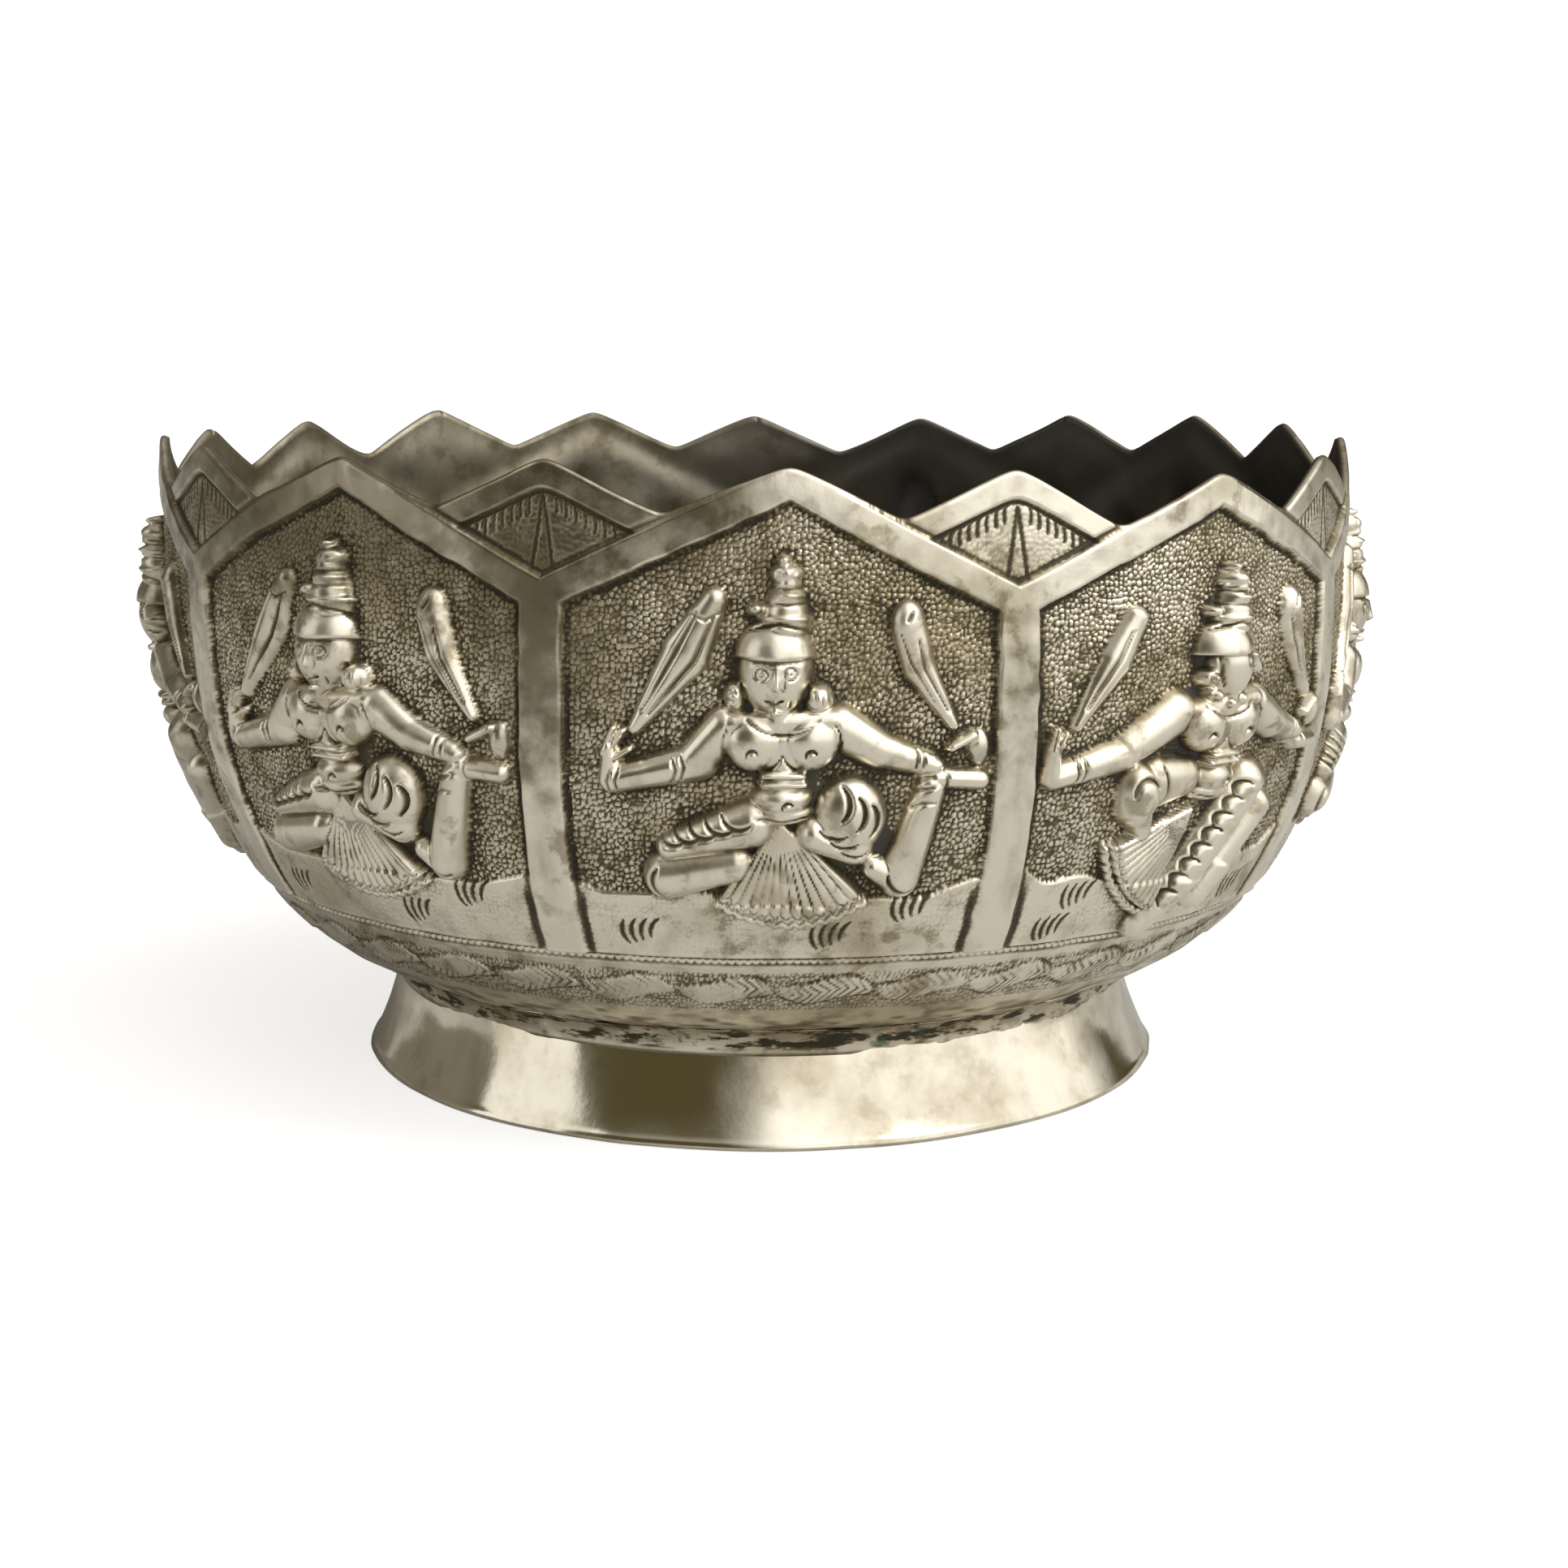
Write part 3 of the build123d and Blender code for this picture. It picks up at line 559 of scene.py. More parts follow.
def panelTemplate():
    grid = bmesh.new()
    bmesh.ops.create_grid(grid, x_segments=panelGrid["columns"], size=1.0,
                          y_segments=panelGrid["under"] + panelGrid["wall"] + panelGrid["lip"])
    bmesh.ops.create_grid(grid, x_segments=panelGrid["innerColumns"], size=1.0,
                          y_segments=panelGrid["innerRows"],
                          matrix=Matrix.Translation((0.0, 0.0, -1.0)))
    border = [edge for edge in grid.edges if edge.is_boundary]
    for axis, side in ((0, -1.0), (0, 1.0), (1, -1.0), (1, 1.0)):
        pair = [edge for edge in border if all(abs(v.co[axis] - side) < 1e-4 for v in edge.verts)]
        bmesh.ops.bridge_loops(grid, edges=pair)
        if (axis, side) != (1, 1.0):
            for edge in pair:
                edge.smooth = False
    bmesh.ops.recalc_face_normals(grid, faces=grid.faces)
    return meshFrom("panelTemplate", grid)


def meshPoints(mesh):
    flat = np.empty(len(mesh.vertices) * 3)
    mesh.vertices.foreach_get("co", flat)
    return flat.reshape(-1, 3)


def setPoints(mesh, points):
    mesh.vertices.foreach_set("co", (points * mm).astype(np.float32).ravel())
    mesh.polygons.foreach_set("use_smooth", np.ones(len(mesh.polygons), dtype=bool))
    mesh.update()


def setField(mesh, name, values):
    layer = mesh.attributes.new(name, "FLOAT", "POINT")
    layer.data.foreach_set("value", values.astype(np.float32))


def place(name, mesh, node):
    piece = bpy.data.objects.new(name, mesh)
    scene.collection.objects.link(piece)
    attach(piece, "root")
    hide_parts(node)
    return piece


def gridIndex(values, count):
    return np.rint((values + 1.0) / 2.0 * count).astype(int)


bowlPieces = []
template = panelTemplate()
flatPoints = meshPoints(template)
outerVerts = flatPoints[:, 2] > -0.5
rowCount = panelGrid["under"] + panelGrid["wall"] + panelGrid["lip"]
outerCol = gridIndex(flatPoints[outerVerts, 0], panelGrid["columns"])
outerRow = gridIndex(flatPoints[outerVerts, 1], rowCount)
innerCol = gridIndex(flatPoints[~outerVerts, 0], panelGrid["innerColumns"])
innerRow = gridIndex(flatPoints[~outerVerts, 1], panelGrid["innerRows"])
print("panel template", len(template.vertices))


# places where the silver has gone darker, as (degrees from the front, height)
patches = [
    {"at": (-40.0, 52.0), "wide": (26.0, 7.0), "much": 0.8},
    {"at": (-20.0, 41.0), "wide": (5.0, 11.0), "much": 0.65},
    {"at": (-8.0, 53.0), "wide": (7.0, 3.5), "much": 0.45},
    {"at": (-70.0, 40.0), "wide": (16.0, 14.0), "much": 0.5},
    {"at": (150.0, 45.0), "wide": (22.0, 9.0), "much": 0.5},
    {"at": (95.0, 30.0), "wide": (14.0, 8.0), "much": 0.35},
    {"at": (0.0, 21.0), "wide": (12.0, 2.5), "much": 0.3},
    {"at": (20.0, 40.0), "wide": (4.0, 13.0), "much": 0.4},
    {"at": (38.0, 53.0), "wide": (9.0, 3.0), "much": 0.28}]
wear = {"radius": 50.0, "near": 0.3, "wide": 1.1, "hollow": 4.0, "valley": 1.1, "crest": 1.6,
        "groove": 0.75, "crack": 0.62, "inHollow": 0.45, "inValley": 0.5}
inner = {"short": 0.12, "follow": 0.9, "dirt": 0.8, "clean": 0.2, "most": 0.9}


def tarnishAt(around, runs):
    total = 0.0
    for spot in patches:
        aside = (around + 180.0 - spot["at"][0]) % 360.0 - 180.0
        above = runs - runAtZ(spot["at"][1])
        faint = -aside ** 2 / spot["wide"][0] ** 2 - above ** 2 / spot["wide"][1] ** 2
        total = total + spot["much"] * np.exp(faint)
    return total


def makePanel(index):
    pose = poseB if index % 2 else poseA
    turn = 40.0 * index
    angles = np.linspace(-20.0, 20.0, panelGrid["columns"] + 1)[None, :] + 0.0 * rowRuns[:, None]
    runs = rowsToRim(rowRuns[:, None] + 0.0 * angles, angles + turn, meridian["sheet"] / 2.0)
    height, groove, crack, field = panelRelief(angles, turn, runs, pose)
    step = 40.0 / panelGrid["columns"] * math.pi / 180.0 * wear["radius"]
    near = max(1, int(round(wear["near"] / step)))
    wide = max(2, int(round(wear["wide"] / step)))
    hollow = np.clip((blur(height, near, near) - height) * wear["hollow"], 0.0, 1.0)
    valley = np.clip((blur(height, wide, wide) - height) * wear["valley"], 0.0, 1.0)
    crest = np.clip((height - blur(height, wide, wide)) * wear["crest"], 0.0, 1.0)
    kept = np.clip(0.6 + 0.8 * softNoise((angles + turn + 20.0) / 2.0, runs / 1.7, 45, 180), 0.1, 1.0)
    settled = (wear["inHollow"] * hollow + wear["inValley"] * valley) * kept
    grime = np.clip(wear["groove"] * groove + wear["crack"] * crack + settled, 0.0, 1.0)
    curl = np.radians(np.linspace(0.0, 90.0, panelGrid["lip"] + 1))[1:, None]
    half = meridian["sheet"] / 2.0
    allAngles = np.concatenate([angles, np.repeat(angles[-1:], panelGrid["lip"], 0)])
    allRuns = np.concatenate([runs, runs[-1:] + half * np.sin(curl)])
    allHeights = np.concatenate([height, height[-1:] - half * (1.0 - np.cos(curl))])

    def spread(values):
        return np.concatenate([values, np.repeat(values[-1:], panelGrid["lip"], 0)])

    innerAngles = np.linspace(-20.0, 20.0, panelGrid["innerColumns"] + 1)[None, :]
    innerShare = np.linspace(0.0, len(rowRuns) - 1.0, panelGrid["innerRows"] + 1)
    innerBase = np.interp(innerShare, np.arange(len(rowRuns)), rowRuns)[:, None] + 0.0 * innerAngles
    innerAngles = innerAngles + 0.0 * innerBase
    innerRuns = rowsToRim(innerBase, innerAngles + turn, inner["short"])
    pushed = blur(height, wide, wide)
    pick = np.rint(innerShare).astype(int)
    across = np.rint(np.linspace(0, panelGrid["columns"], panelGrid["innerColumns"] + 1)).astype(int)
    pushed = pushed[np.ix_(pick, across)]
    innerHeights = pushed * inner["follow"] - meridian["sheet"]

    points = np.empty(flatPoints.shape)
    fields = {name: np.zeros(len(points)) for name in ("grime", "crest", "field", "inside", "tarnish")}
    sides = [(outerVerts, outerCol, outerRow, allAngles, allRuns, allHeights),
             (~outerVerts, innerCol, innerRow, innerAngles, innerRuns, innerHeights)]
    for mask, col, row, ang, run, out in sides:
        r, z = onPath(run, out)
        rising = ramp(z, *swayReach["out"])
        bentR = r + swayed("out", ang + turn) * rising
        around = np.radians(ang + turn + swayed("turn", ang + turn) * rising)
        z = z + swayed("up", ang + turn) * ramp(z, *swayReach["up"])
        where = np.stack([bentR * np.sin(around), -bentR * np.cos(around), z], axis=-1)
        points[mask] = where[row, col]
    outside = {"grime": grime, "crest": crest, "field": field, "tarnish": tarnishAt(angles + turn, runs)}
    for name, values in outside.items():
        fields[name][outerVerts] = spread(values)[outerRow, outerCol]
    fields["inside"][~outerVerts] = 1.0
    hollows = np.clip(pushed * inner["dirt"] - inner["clean"], 0.0, inner["most"])
    fields["grime"][~outerVerts] = hollows[innerRow, innerCol]
    mesh = template.copy()
    mesh.name = "bowlPanel" + str(index)
    setPoints(mesh, points)
    for name, values in fields.items():
        setField(mesh, name, values)
    return place("bowl_panel_" + str(index), mesh, "bowl")


for number in range(9):
    bowlPieces.append(makePanel(number))
bpy.data.meshes.remove(template)
print("bowl panels", len(bowlPieces))


def spun(name, profile, steps, node, shift=None):
    ring = bmesh.new()
    corners = [ring.verts.new((r, 0.0, z)) for r, z in profile["points"]]
    chain = [ring.edges.new(pair) for pair in zip(corners, corners[1:])]
    if profile["closed"]:
        chain.append(ring.edges.new((corners[-1], corners[0])))
    bmesh.ops.spin(ring, geom=corners + chain, cent=(0.0, 0.0, 0.0), axis=(0.0, 0.0, 1.0),
                   dvec=(0.0, 0.0, 0.0), steps=steps, angle=2.0 * math.pi,
                   use_merge=True, use_duplicate=False)
    bmesh.ops.remove_doubles(ring, verts=ring.verts, dist=1e-5)
    bmesh.ops.recalc_face_normals(ring, faces=ring.faces)
    mesh = meshFrom(name, ring)
    points = meshPoints(mesh)
    if shift is not None:
        points = shift(points)
    setPoints(mesh, points)
    return place(name, mesh, node)


# the middle of the bowl's floor, inside the foot
discRuns = np.linspace(startS, 0.0, 40)
discOut = np.stack(onPath(discRuns, 0.0), axis=-1)
discIn = np.stack(onPath(discRuns[::-1], -meridian["sheet"]), axis=-1)
discOut[-1, 0] = 0.0
discIn[0, 0] = 0.0
discProfile = {"points": np.concatenate([discOut, discIn]).tolist(), "closed": True}
bowlFloor = spun("bowl_floor", discProfile, 180, "bowl")
setField(bowlFloor.data, "inside", np.ones(len(bowlFloor.data.vertices)))
bowlPieces.append(bowlFloor)

# the foot, a strip bent to a flared ring with a worn lower edge
foot = {"top": 33.2, "height": 9.4, "flare": 3.2, "hollow": 0.5, "sheet": 0.9, "edge": 0.4, "steps": 360}


def footRadius(t):
    return foot["top"] + foot["flare"] * (1.0 - t) - 4.0 * foot["hollow"] * t * (1.0 - t)


footT = np.linspace(0.0, 1.0, 28)
footOut = [(footRadius(t), foot["height"] * t) for t in footT if foot["height"] * t > foot["edge"] * 1.2]
footIn = [(r - foot["sheet"], z) for r, z in footOut][::-1]
edgeTurn = np.radians(np.linspace(-160.0, -20.0, 8))
footMid = footRadius(0.0) - foot["sheet"] / 2.0
footHalf = foot["sheet"] / 2.0
footEdge = [(footMid + footHalf * math.cos(t), foot["edge"] + foot["edge"] * math.sin(t)) for t in edgeTurn]


def aroundOf(points):
    return np.degrees(np.arctan2(points[:, 0], -points[:, 1])) % 360.0


def pushedOut(points, out):
    r = np.hypot(points[:, 0], points[:, 1])
    return np.stack([points[:, 0] * (1.0 + out / r), points[:, 1] * (1.0 + out / r), points[:, 2]], axis=-1)


def footUneven(points):
    around = aroundOf(points)
    z = points[:, 2]
    out = 0.10 * softNoise(around / 15.0, z / 6.0, 51, 24) + 0.05 * softNoise(around / 5.0, z / 2.5, 52, 72)
    return pushedOut(points, out)


footProfile = {"points": footEdge + footOut + footIn, "closed": True}
footPiece = spun("foot_ring_sheet", footProfile, foot["steps"], "foot_ring", footUneven)
print("foot", len(footPiece.data.vertices))

# the rough solder outside the joint between bowl and foot
neck = {"low": 7.2, "sunk": 0.03, "top": 35.4, "lift": 0.12, "corner": (33.1, 9.2), "pull": (0.35, 0.05),
        "back": [(34.2, 9.75), (32.7, 9.3), (33.0, 7.6)], "rows": 12, "steps": 540}
neckTop = float(np.interp(neck["top"], pathR[:lowerCount], pathS[:lowerCount]))
neckHigh = np.array(onPath(neckTop, neck["lift"]))
neckLow = np.array((footRadius(neck["low"] / foot["height"]) - neck["sunk"], neck["low"]))
neckMid = np.array(neck["corner"]) + neck["pull"]
neckPoints = [tuple((1 - t) ** 2 * neckLow + 2 * t * (1 - t) * neckMid + t * t * neckHigh)
              for t in np.linspace(0.0, 1.0, neck["rows"])]


def neckRough(points):
    around = aroundOf(points)
    z = points[:, 2]
    out = 0.16 * softNoise(around / 2.4, z / 1.1, 61, 150) + 0.12 * softNoise(around / 0.8, z / 0.5, 62, 450)
    r = np.hypot(points[:, 0], points[:, 1])
    out = out * ramp(z, 7.3, 8.4) * ramp(35.3 - r, 0.0, 0.9)
    return pushedOut(points, out)


neckProfile = {"points": neckPoints + neck["back"], "closed": True}
neckPiece = spun("neck_solder_ring", neckProfile, neck["steps"], "neck_solder", neckRough)
print("neck", len(neckPiece.data.vertices))

# the butt joint of the foot strip, a thin uneven bead of solder at the back
seam = {"half": 0.28, "proud": 0.06, "cuts": 9}
seamMesh = bmesh.new()
bmesh.ops.create_cube(seamMesh, size=1.0)
bmesh.ops.subdivide_edges(seamMesh, edges=seamMesh.edges, cuts=seam["cuts"], use_grid_fill=True)
seamData = meshFrom("foot_seam_bead", seamMesh)
seamPoints = meshPoints(seamData)
seamT = np.clip((seamPoints[:, 2] + 0.5) * 0.88 + 0.05, 0.0, 1.0)
seamWide = seam["half"] * (1.0 + 0.3 * softNoise(seamT * 9.0, seamT * 0.0, 71, 64))
seamSoft = 1.0 - 0.5 * (2.0 * seamPoints[:, 0]) ** 2
seamOut = footRadius(seamT) + seam["proud"] * seamSoft
seamIn = footRadius(seamT) - foot["sheet"] - seam["proud"] * seamSoft
seamY = seamIn + (seamPoints[:, 1] + 0.5) * (seamOut - seamIn)
setPoints(seamData, np.stack([seamPoints[:, 0] * 2.0 * seamWide, seamY, seamT * foot["height"]], axis=-1))
seamPiece = place("foot_seam_bead", seamData, "foot_seam")


def node(tree, kind, values=None, **settings):
    made = tree.nodes.new(kind)
    for name, value in settings.items():
        setattr(made, name, value)
    for name, value in (values or {}).items():
        made.inputs[name].default_value = value
    return made


def sums(tree, kind, a, b):
    made = tree.nodes.new("ShaderNodeMath")
    made.operation = kind
    for slot, value in ((0, a), (1, b)):
        if isinstance(value, (int, float)):
            made.inputs[slot].default_value = value
        else:
            tree.links.new(value, made.inputs[slot])
    return made.outputs[0]


def times(tree, a, b):
    return sums(tree, "MULTIPLY", a, b)


def plus(tree, a, b):
    return sums(tree, "ADD", a, b)


def scaled(tree, vector, by):
    made = node(tree, "ShaderNodeVectorMath", operation="MULTIPLY")
    tree.links.new(vector, made.inputs[0])
    made.inputs[1].default_value = by
    return made.outputs[0]


def axes(tree, vector):
    made = tree.nodes.new("ShaderNodeSeparateXYZ")
    tree.links.new(vector, made.inputs[0])
    return made.outputs


def band(tree, value, low, high, start=0.0, end=1.0):
    ends = {"From Min": low, "From Max": high, "To Min": start, "To Max": end}
    made = node(tree, "ShaderNodeMapRange", ends, interpolation_type="SMOOTHSTEP")
    tree.links.new(value, made.inputs["Value"])
    return made.outputs["Result"]


def blend(tree, factor, a, b):
    made = node(tree, "ShaderNodeMix", data_type="RGBA")
    tree.links.new(factor, made.inputs[0])
    for slot, value in ((6, a), (7, b)):
        if isinstance(value, tuple):
            made.inputs[slot].default_value = value + (1.0,)
        else:
            tree.links.new(value, made.inputs[slot])
    return made.outputs[2]


def noiseAt(tree, coord, scale, detail, rough=0.55):
    made = node(tree, "ShaderNodeTexNoise", {"Scale": scale, "Detail": detail, "Roughness": rough})
    tree.links.new(coord, made.inputs["Vector"])
    return made.outputs["Fac"]


# the colour named inner is not a colour of the silver: it is painted shade for the inside of the bowl
look = {"bright": (0.82, 0.765, 0.64), "warm": (0.50, 0.435, 0.31), "brown": (0.25, 0.20, 0.105),
        "dark": (0.04, 0.033, 0.018), "green": (0.02, 0.11, 0.09), "umber": (0.17, 0.145, 0.09),
        "inner": (0.07, 0.068, 0.062)}


def agedGroup():
    tree = bpy.data.node_groups.new("agedSilver", "ShaderNodeTree")
    for name in ("Coord", "Grime", "Crest", "Dull", "Tarnish", "Stain"):
        kind = "NodeSocketVector" if name == "Coord" else "NodeSocketFloat"
        tree.interface.new_socket(name=name, in_out="INPUT", socket_type=kind)
    for name in ("Color", "Roughness", "Metallic", "Height"):
        kind = "NodeSocketColor" if name == "Color" else "NodeSocketFloat"
        tree.interface.new_socket(name=name, in_out="OUTPUT", socket_type=kind)
    given = tree.nodes.new("NodeGroupInput")
    taken = tree.nodes.new("NodeGroupOutput")
    coord = given.outputs["Coord"]
    cloud = noiseAt(tree, coord, 70.0, 5.0, 0.6)
    speck = noiseAt(tree, coord, 420.0, 4.0, 0.6)
    fineGrain = noiseAt(tree, coord, 1500.0, 3.0)
    dull = given.outputs["Dull"]
    warmth = plus(tree, band(tree, cloud, 0.38, 0.68, 0.0, 0.75), times(tree, dull, 0.6))
    worn = sums(tree, "SUBTRACT", warmth, times(tree, given.outputs["Crest"], 0.7))
    silver = blend(tree, band(tree, worn, 0.0, 1.0), look["bright"], look["warm"])
    stretched = scaled(tree, coord, (1.0, 1.0, 0.3))
    streak = band(tree, noiseAt(tree, stretched, 330.0, 3.0), 0.5, 0.7, 0.0, 0.5)
    stain = times(tree, band(tree, speck, 0.5, 0.64), band(tree, cloud, 0.38, 0.56))
    stain = times(tree, sums(tree, "MAXIMUM", stain, streak), given.outputs["Stain"])
    silver = blend(tree, stain, silver, look["brown"])
    tarnish = given.outputs["Tarnish"]
    patchy = plus(tree, tarnish, times(tree, sums(tree, "SUBTRACT", speck, 0.5), 0.9))
    patchy = times(tree, band(tree, patchy, 0.1, 0.7, 0.0, 0.85), band(tree, tarnish, 0.0, 0.1))
    silver = blend(tree, patchy, silver, look["umber"])
    uneven = plus(tree, given.outputs["Grime"], times(tree, sums(tree, "SUBTRACT", speck, 0.5), 0.5))
    dirt = band(tree, uneven, 0.12, 0.85)
    browned = blend(tree, band(tree, uneven, 0.05, 0.5), silver, look["brown"])
    colour = blend(tree, dirt, browned, look["dark"])
    rough = plus(tree, band(tree, cloud, 0.3, 0.7, 0.2, 0.34), times(tree, dirt, 0.3))
    rough = plus(tree, rough, times(tree, dull, 0.22))
    rough = plus(tree, rough, times(tree, fineGrain, 0.06))
    metal = sums(tree, "SUBTRACT", 1.0, times(tree, dirt, 0.65))
    bump = plus(tree, times(tree, speck, 0.6), times(tree, fineGrain, 0.25))
    for source, name in ((colour, "Color"), (rough, "Roughness"), (metal, "Metallic"), (bump, "Height")):
        tree.links.new(source, taken.inputs[name])
    return tree


aged = agedGroup()


def newMaterial(name):
    material = bpy.data.materials.new(name)
    material.use_nodes = True
    return material, material.node_tree, material.node_tree.nodes["Principled BSDF"]


def silverMaterial(name, bumpDepth, stain):
    material, tree, shader = newMaterial(name)
    coord = tree.nodes.new("ShaderNodeTexCoord").outputs["Object"]
    group = tree.nodes.new("ShaderNodeGroup")
    group.node_tree = aged
    tree.links.new(coord, group.inputs["Coord"])
    group.inputs["Stain"].default_value = stain
    bump = node(tree, "ShaderNodeBump", {"Strength": 0.5, "Distance": bumpDepth})
    tree.links.new(group.outputs["Height"], bump.inputs["Height"])
    for given, taken in (("Color", "Base Color"), ("Roughness", "Roughness"), ("Metallic", "Metallic")):
        tree.links.new(group.outputs[given], shader.inputs[taken])
    tree.links.new(bump.outputs["Normal"], shader.inputs["Normal"])
    return material, tree, group, shader, coord


def readField(tree, name):
    return node(tree, "ShaderNodeAttribute", attribute_name=name, attribute_type="GEOMETRY").outputs["Fac"]


bowlLook = {"bump": 0.00008, "stain": 0.62, "insideGrime": 0.06, "fieldGrime": 0.03, "fieldDull": 0.5,
            "insideDull": 0.9, "shade": (-0.03, 0.022, 0.36, 0.96)}
bowlSilver, tree, group, shader, coord = silverMaterial("bowlSilver", bowlLook["bump"], bowlLook["stain"])
inside = readField(tree, "inside")
field = readField(tree, "field")
grime = plus(tree, readField(tree, "grime"), times(tree, inside, bowlLook["insideGrime"]))
grime = plus(tree, grime, times(tree, field, bowlLook["fieldGrime"]))
tree.links.new(grime, group.inputs["Grime"])
tree.links.new(readField(tree, "crest"), group.inputs["Crest"])
dull = plus(tree, times(tree, field, bowlLook["fieldDull"]), times(tree, inside, bowlLook["insideDull"]))
tree.links.new(dull, group.inputs["Dull"])
tree.links.new(readField(tree, "tarnish"), group.inputs["Tarnish"])
# painted shade inside the bowl: its colour is blended towards the dark inner colour, about a third of the way
# on the left (-X) and nearly fully on the right (+X)
shade = times(tree, inside, band(tree, axes(tree, coord)["X"], *bowlLook["shade"]))
tree.links.new(blend(tree, shade, group.outputs["Color"], look["inner"]), shader.inputs["Base Color"])
for piece in bowlPieces:
    piece.data.materials.append(bowlSilver)

footLook = {"bump": 0.00003, "stain": 0.22, "polish": 0.45, "blotScale": 190.0,
            "blot": (0.66, 0.74, 0.0, 0.35), "blotGrime": 0.6, "crustScale": 460.0, "crust": (0.56, 0.7),
            "crustZ": (0.0062, 0.0092), "crustX": (-0.012, 0.014, 0.9, 0.45)}
footSilver, tree, group, shader, coord = silverMaterial("footSilver", footLook["bump"], footLook["stain"])
blot = band(tree, noiseAt(tree, coord, footLook["blotScale"], 3.0), *footLook["blot"])
tree.links.new(times(tree, group.outputs["Roughness"], footLook["polish"]), shader.inputs["Roughness"])
spread = axes(tree, coord)
crust = band(tree, noiseAt(tree, coord, footLook["crustScale"], 4.0), *footLook["crust"])
crust = times(tree, band(tree, spread["Z"], *footLook["crustZ"]), crust)
crust = times(tree, crust, band(tree, spread["X"], *footLook["crustX"]))
tree.links.new(plus(tree, times(tree, blot, footLook["blotGrime"]), crust), group.inputs["Grime"])
footPiece.data.materials.append(footSilver)

solderLook = {"bump": 0.00012, "stain": 0.7, "dull": 0.3, "rings": (1.0, 1.0, 4.0), "spotScale": 260.0,
              "spots": (0.45, 0.6, 0.05, 1.0), "spotsZ": (0.0073, 0.0083), "greenScale": 300.0,
              "green": (0.6, 0.66), "greenZ": (0.0076, 0.0084)}
solder, tree, group, shader, coord = silverMaterial("solder", solderLook["bump"], solderLook["stain"])
spots = noiseAt(tree, scaled(tree, coord, solderLook["rings"]), solderLook["spotScale"], 5.0, 0.65)
up = axes(tree, coord)["Z"]
spots = times(tree, band(tree, spots, *solderLook["spots"]), band(tree, up, *solderLook["spotsZ"]))
tree.links.new(spots, group.inputs["Grime"])
group.inputs["Dull"].default_value = solderLook["dull"]
greenish = band(tree, noiseAt(tree, coord, solderLook["greenScale"], 3.0), *solderLook["green"])
greenish = times(tree, greenish, band(tree, up, *solderLook["greenZ"]))
tree.links.new(blend(tree, greenish, group.outputs["Color"], look["green"]), shader.inputs["Base Color"])
for piece in (neckPiece, seamPiece):
    piece.data.materials.append(solder)
for shownNode in bpy.data.objects:
    if shownNode.type == "MESH" and not shownNode.hide_render:
        if not shownNode.data.materials:
            shownNode.data.materials.append(solder)
        elif shownNode.name.startswith("inner_solder"):
            shownNode.data.materials[0] = solder
print("materials done")

# floor, world and lights
table = {"half": 3.0, "paint": (0.66, 0.66, 0.66, 1.0), "rough": 0.9, "glow": 0.7}
floorMesh = bmesh.new()
bmesh.ops.create_grid(floorMesh, x_segments=1, y_segments=1, size=table["half"])
floorData = meshFrom("floor", floorMesh)
floorPiece = bpy.data.objects.new("floor", floorData)
scene.collection.objects.link(floorPiece)
floorPaint, tree, shader = newMaterial("floorPaint")
shader.inputs["Base Color"].default_value = table["paint"]
shader.inputs["Roughness"].default_value = table["rough"]
rays = tree.nodes.new("ShaderNodeLightPath")
shader.inputs["Emission Color"].default_value = (1.0, 1.0, 1.0, 1.0)
seen = times(tree, rays.outputs["Is Camera Ray"], table["glow"])
tree.links.new(seen, shader.inputs["Emission Strength"])
floorData.materials.append(floorPaint)

world = bpy.data.worlds.new("studio")
scene.world = world
world.use_nodes = True
tree = world.node_tree
tree.nodes.clear()
facing = tree.nodes.new("ShaderNodeTexCoord").outputs["Generated"]
surface = tree.nodes.new("ShaderNodeOutputWorld")


def direction(azimuth, elevation):
    a = math.radians(azimuth)
    e = math.radians(elevation)
    return Vector((math.sin(a) * math.cos(e), -math.cos(a) * math.cos(e), math.sin(e)))


def toward(tree, azimuth, elevation, low, high, level, way=facing):
    dot = node(tree, "ShaderNodeVectorMath", operation="DOT_PRODUCT")
    tree.links.new(way, dot.inputs[0])
    dot.inputs[1].default_value = direction(azimuth, elevation)
    return band(tree, dot.outputs["Value"], low, high, 0.0, level)


# a wide glow on the right, a tall window on the left, a faint one behind it and the ceiling
glow = toward(tree, azimuth=57.0, elevation=20.0, low=0.42, high=0.72, level=1.22)
flat = node(tree, "ShaderNodeVectorMath", operation="NORMALIZE")
tree.links.new(scaled(tree, facing, (1.0, 1.0, 0.0)), flat.inputs[0])
window = toward(tree, azimuth=-73.0, elevation=0.0, low=0.952, high=0.964, level=1.0, way=flat.outputs[0])
window = times(tree, window, band(tree, axes(tree, facing)["Z"], 0.72, 0.62))
behind = toward(tree, azimuth=-122.0, elevation=5.0, low=0.8, high=0.93, level=0.12)
glow = plus(tree, glow, plus(tree, window, behind))
ceiling = toward(tree, azimuth=20.0, elevation=90.0, low=0.45, high=0.85, level=0.35)
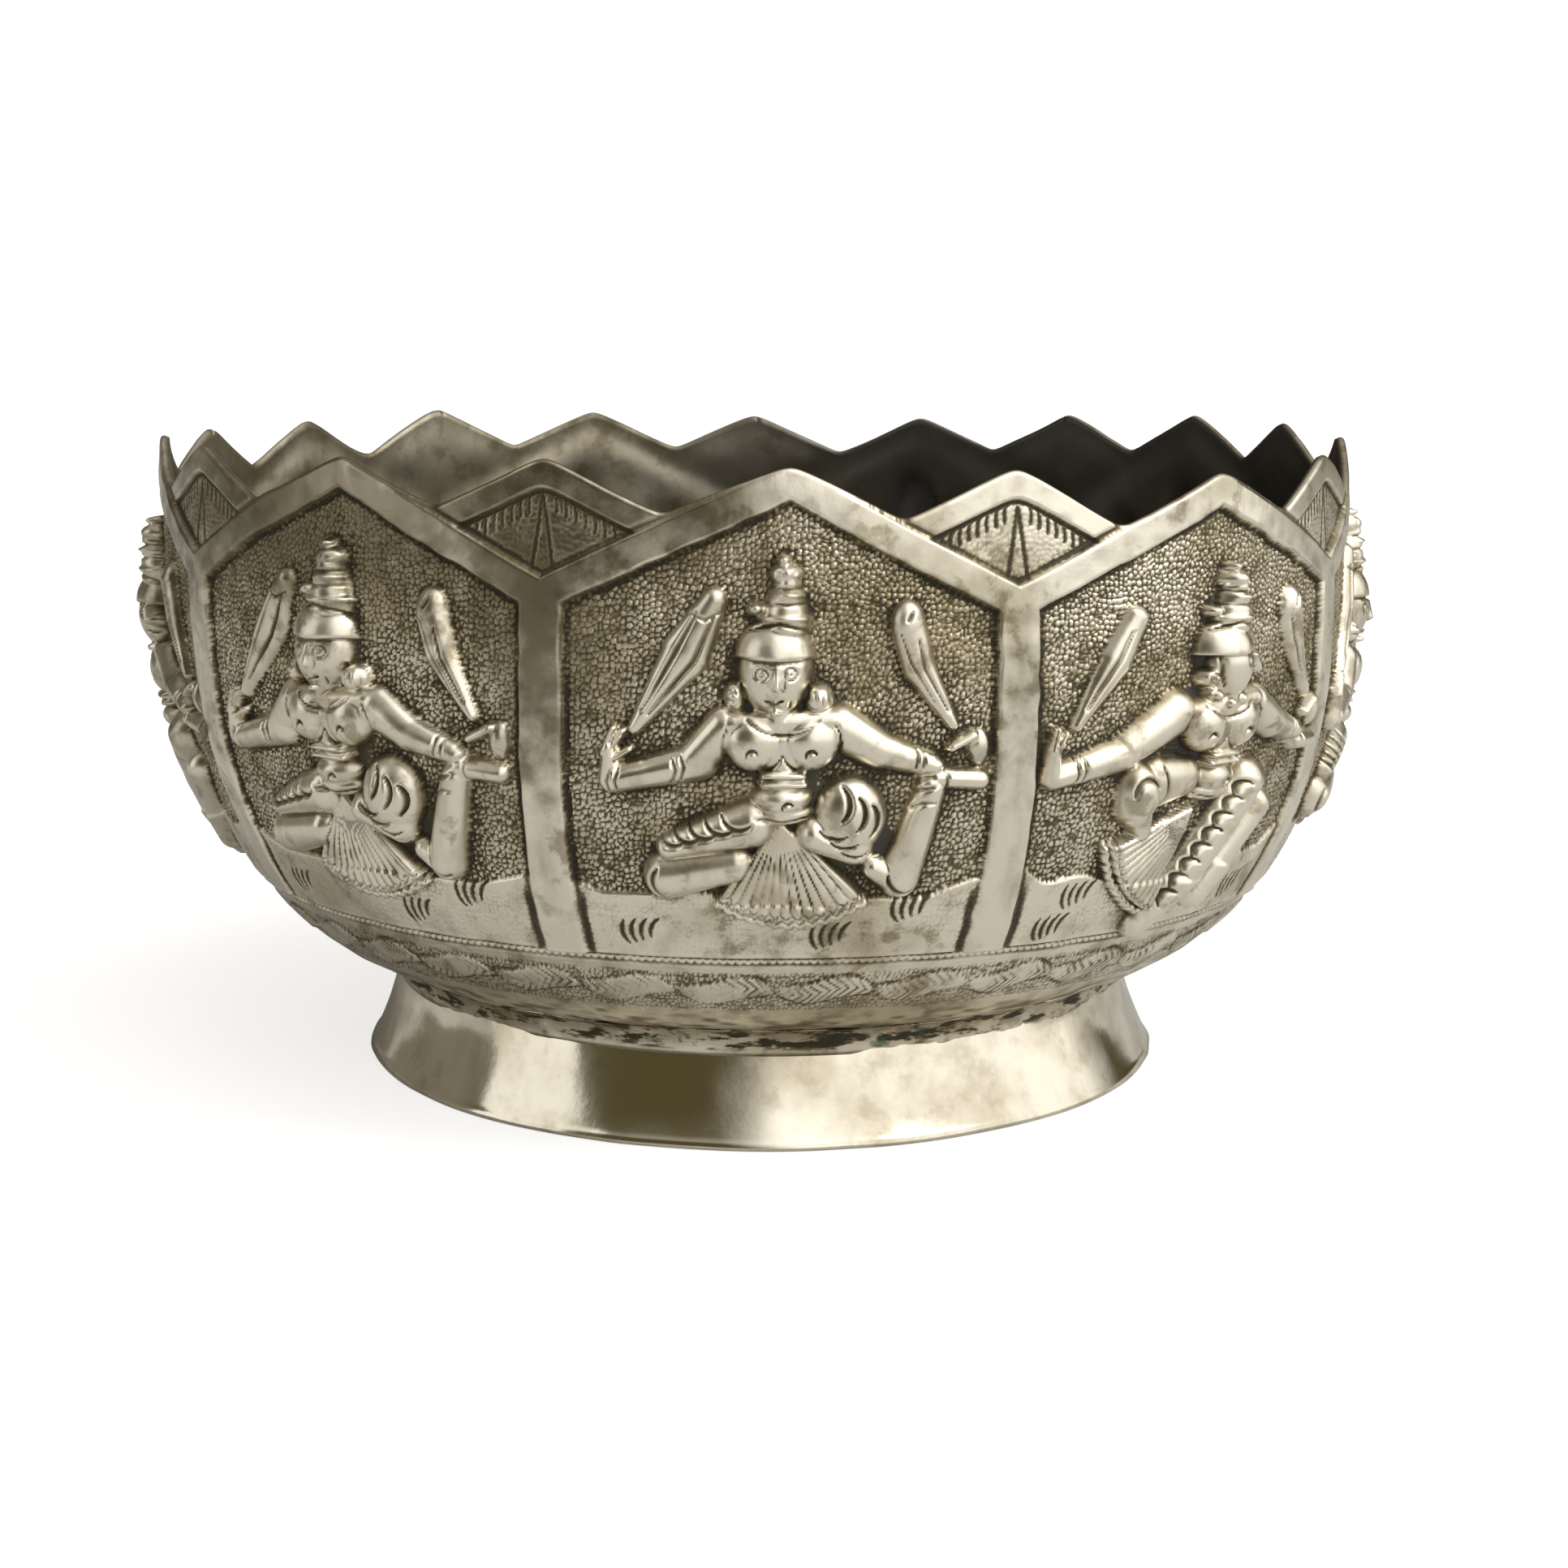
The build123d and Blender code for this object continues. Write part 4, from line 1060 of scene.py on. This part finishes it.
glow = plus(tree, glow, ceiling)
ambient = (0.09, 0.073, 0.034)
white = (1.0, 1.0, 1.0)
room = node(tree, "ShaderNodeVectorMath", operation="SCALE")
room.inputs[0].default_value = white
tree.links.new(glow, room.inputs["Scale"])
dim = node(tree, "ShaderNodeVectorMath", operation="ADD")
tree.links.new(room.outputs[0], dim.inputs[0])
dim.inputs[1].default_value = ambient
rays = tree.nodes.new("ShaderNodeLightPath")
background = tree.nodes.new("ShaderNodeBackground")
backdrop = blend(tree, rays.outputs["Is Camera Ray"], dim.outputs[0], white)
tree.links.new(backdrop, background.inputs["Color"])
tree.links.new(background.outputs[0], surface.inputs["Surface"])


def softBox(name, azimuth, elevation, distance, size, power):
    light = bpy.data.lights.new(name, "AREA")
    light.shape = "RECTANGLE"
    light.size = size[0]
    light.size_y = size[1]
    light.energy = power
    lamp = bpy.data.objects.new(name, light)
    way = direction(azimuth, elevation)
    lamp.location = way * distance + Vector((0.0, 0.0, 0.03))
    lamp.rotation_euler = way.to_track_quat("Z", "Y").to_euler()
    scene.collection.objects.link(lamp)
    return lamp


softBox("keyLight", azimuth=55.0, elevation=42.0, distance=0.7, size=(0.25, 0.25), power=1.4)
softBox("topLight", azimuth=25.0, elevation=72.0, distance=0.8, size=(0.5, 0.5), power=0.6)

# the camera that took the photograph
shot = {"place": (-6.10, -234.49, 66.41), "pan": 1.988, "pitch": 10.35, "roll": 0.415, "lens": 58.95}
camera = bpy.data.cameras.new("camera")
camera.lens = shot["lens"]
camera.sensor_width = 36.0
camera.clip_start = 0.01
viewer = bpy.data.objects.new("camera", camera)
viewer.matrix_world = (Matrix.Translation(Vector(shot["place"]) * mm)
                       @ Matrix.Rotation(math.radians(-shot["pan"]), 4, "Z")
                       @ Matrix.Rotation(math.radians(90.0 - shot["pitch"]), 4, "X")
                       @ Matrix.Rotation(math.radians(shot["roll"]), 4, "Z"))
scene.collection.objects.link(viewer)
scene.camera = viewer
scene.view_settings.view_transform = "Standard"
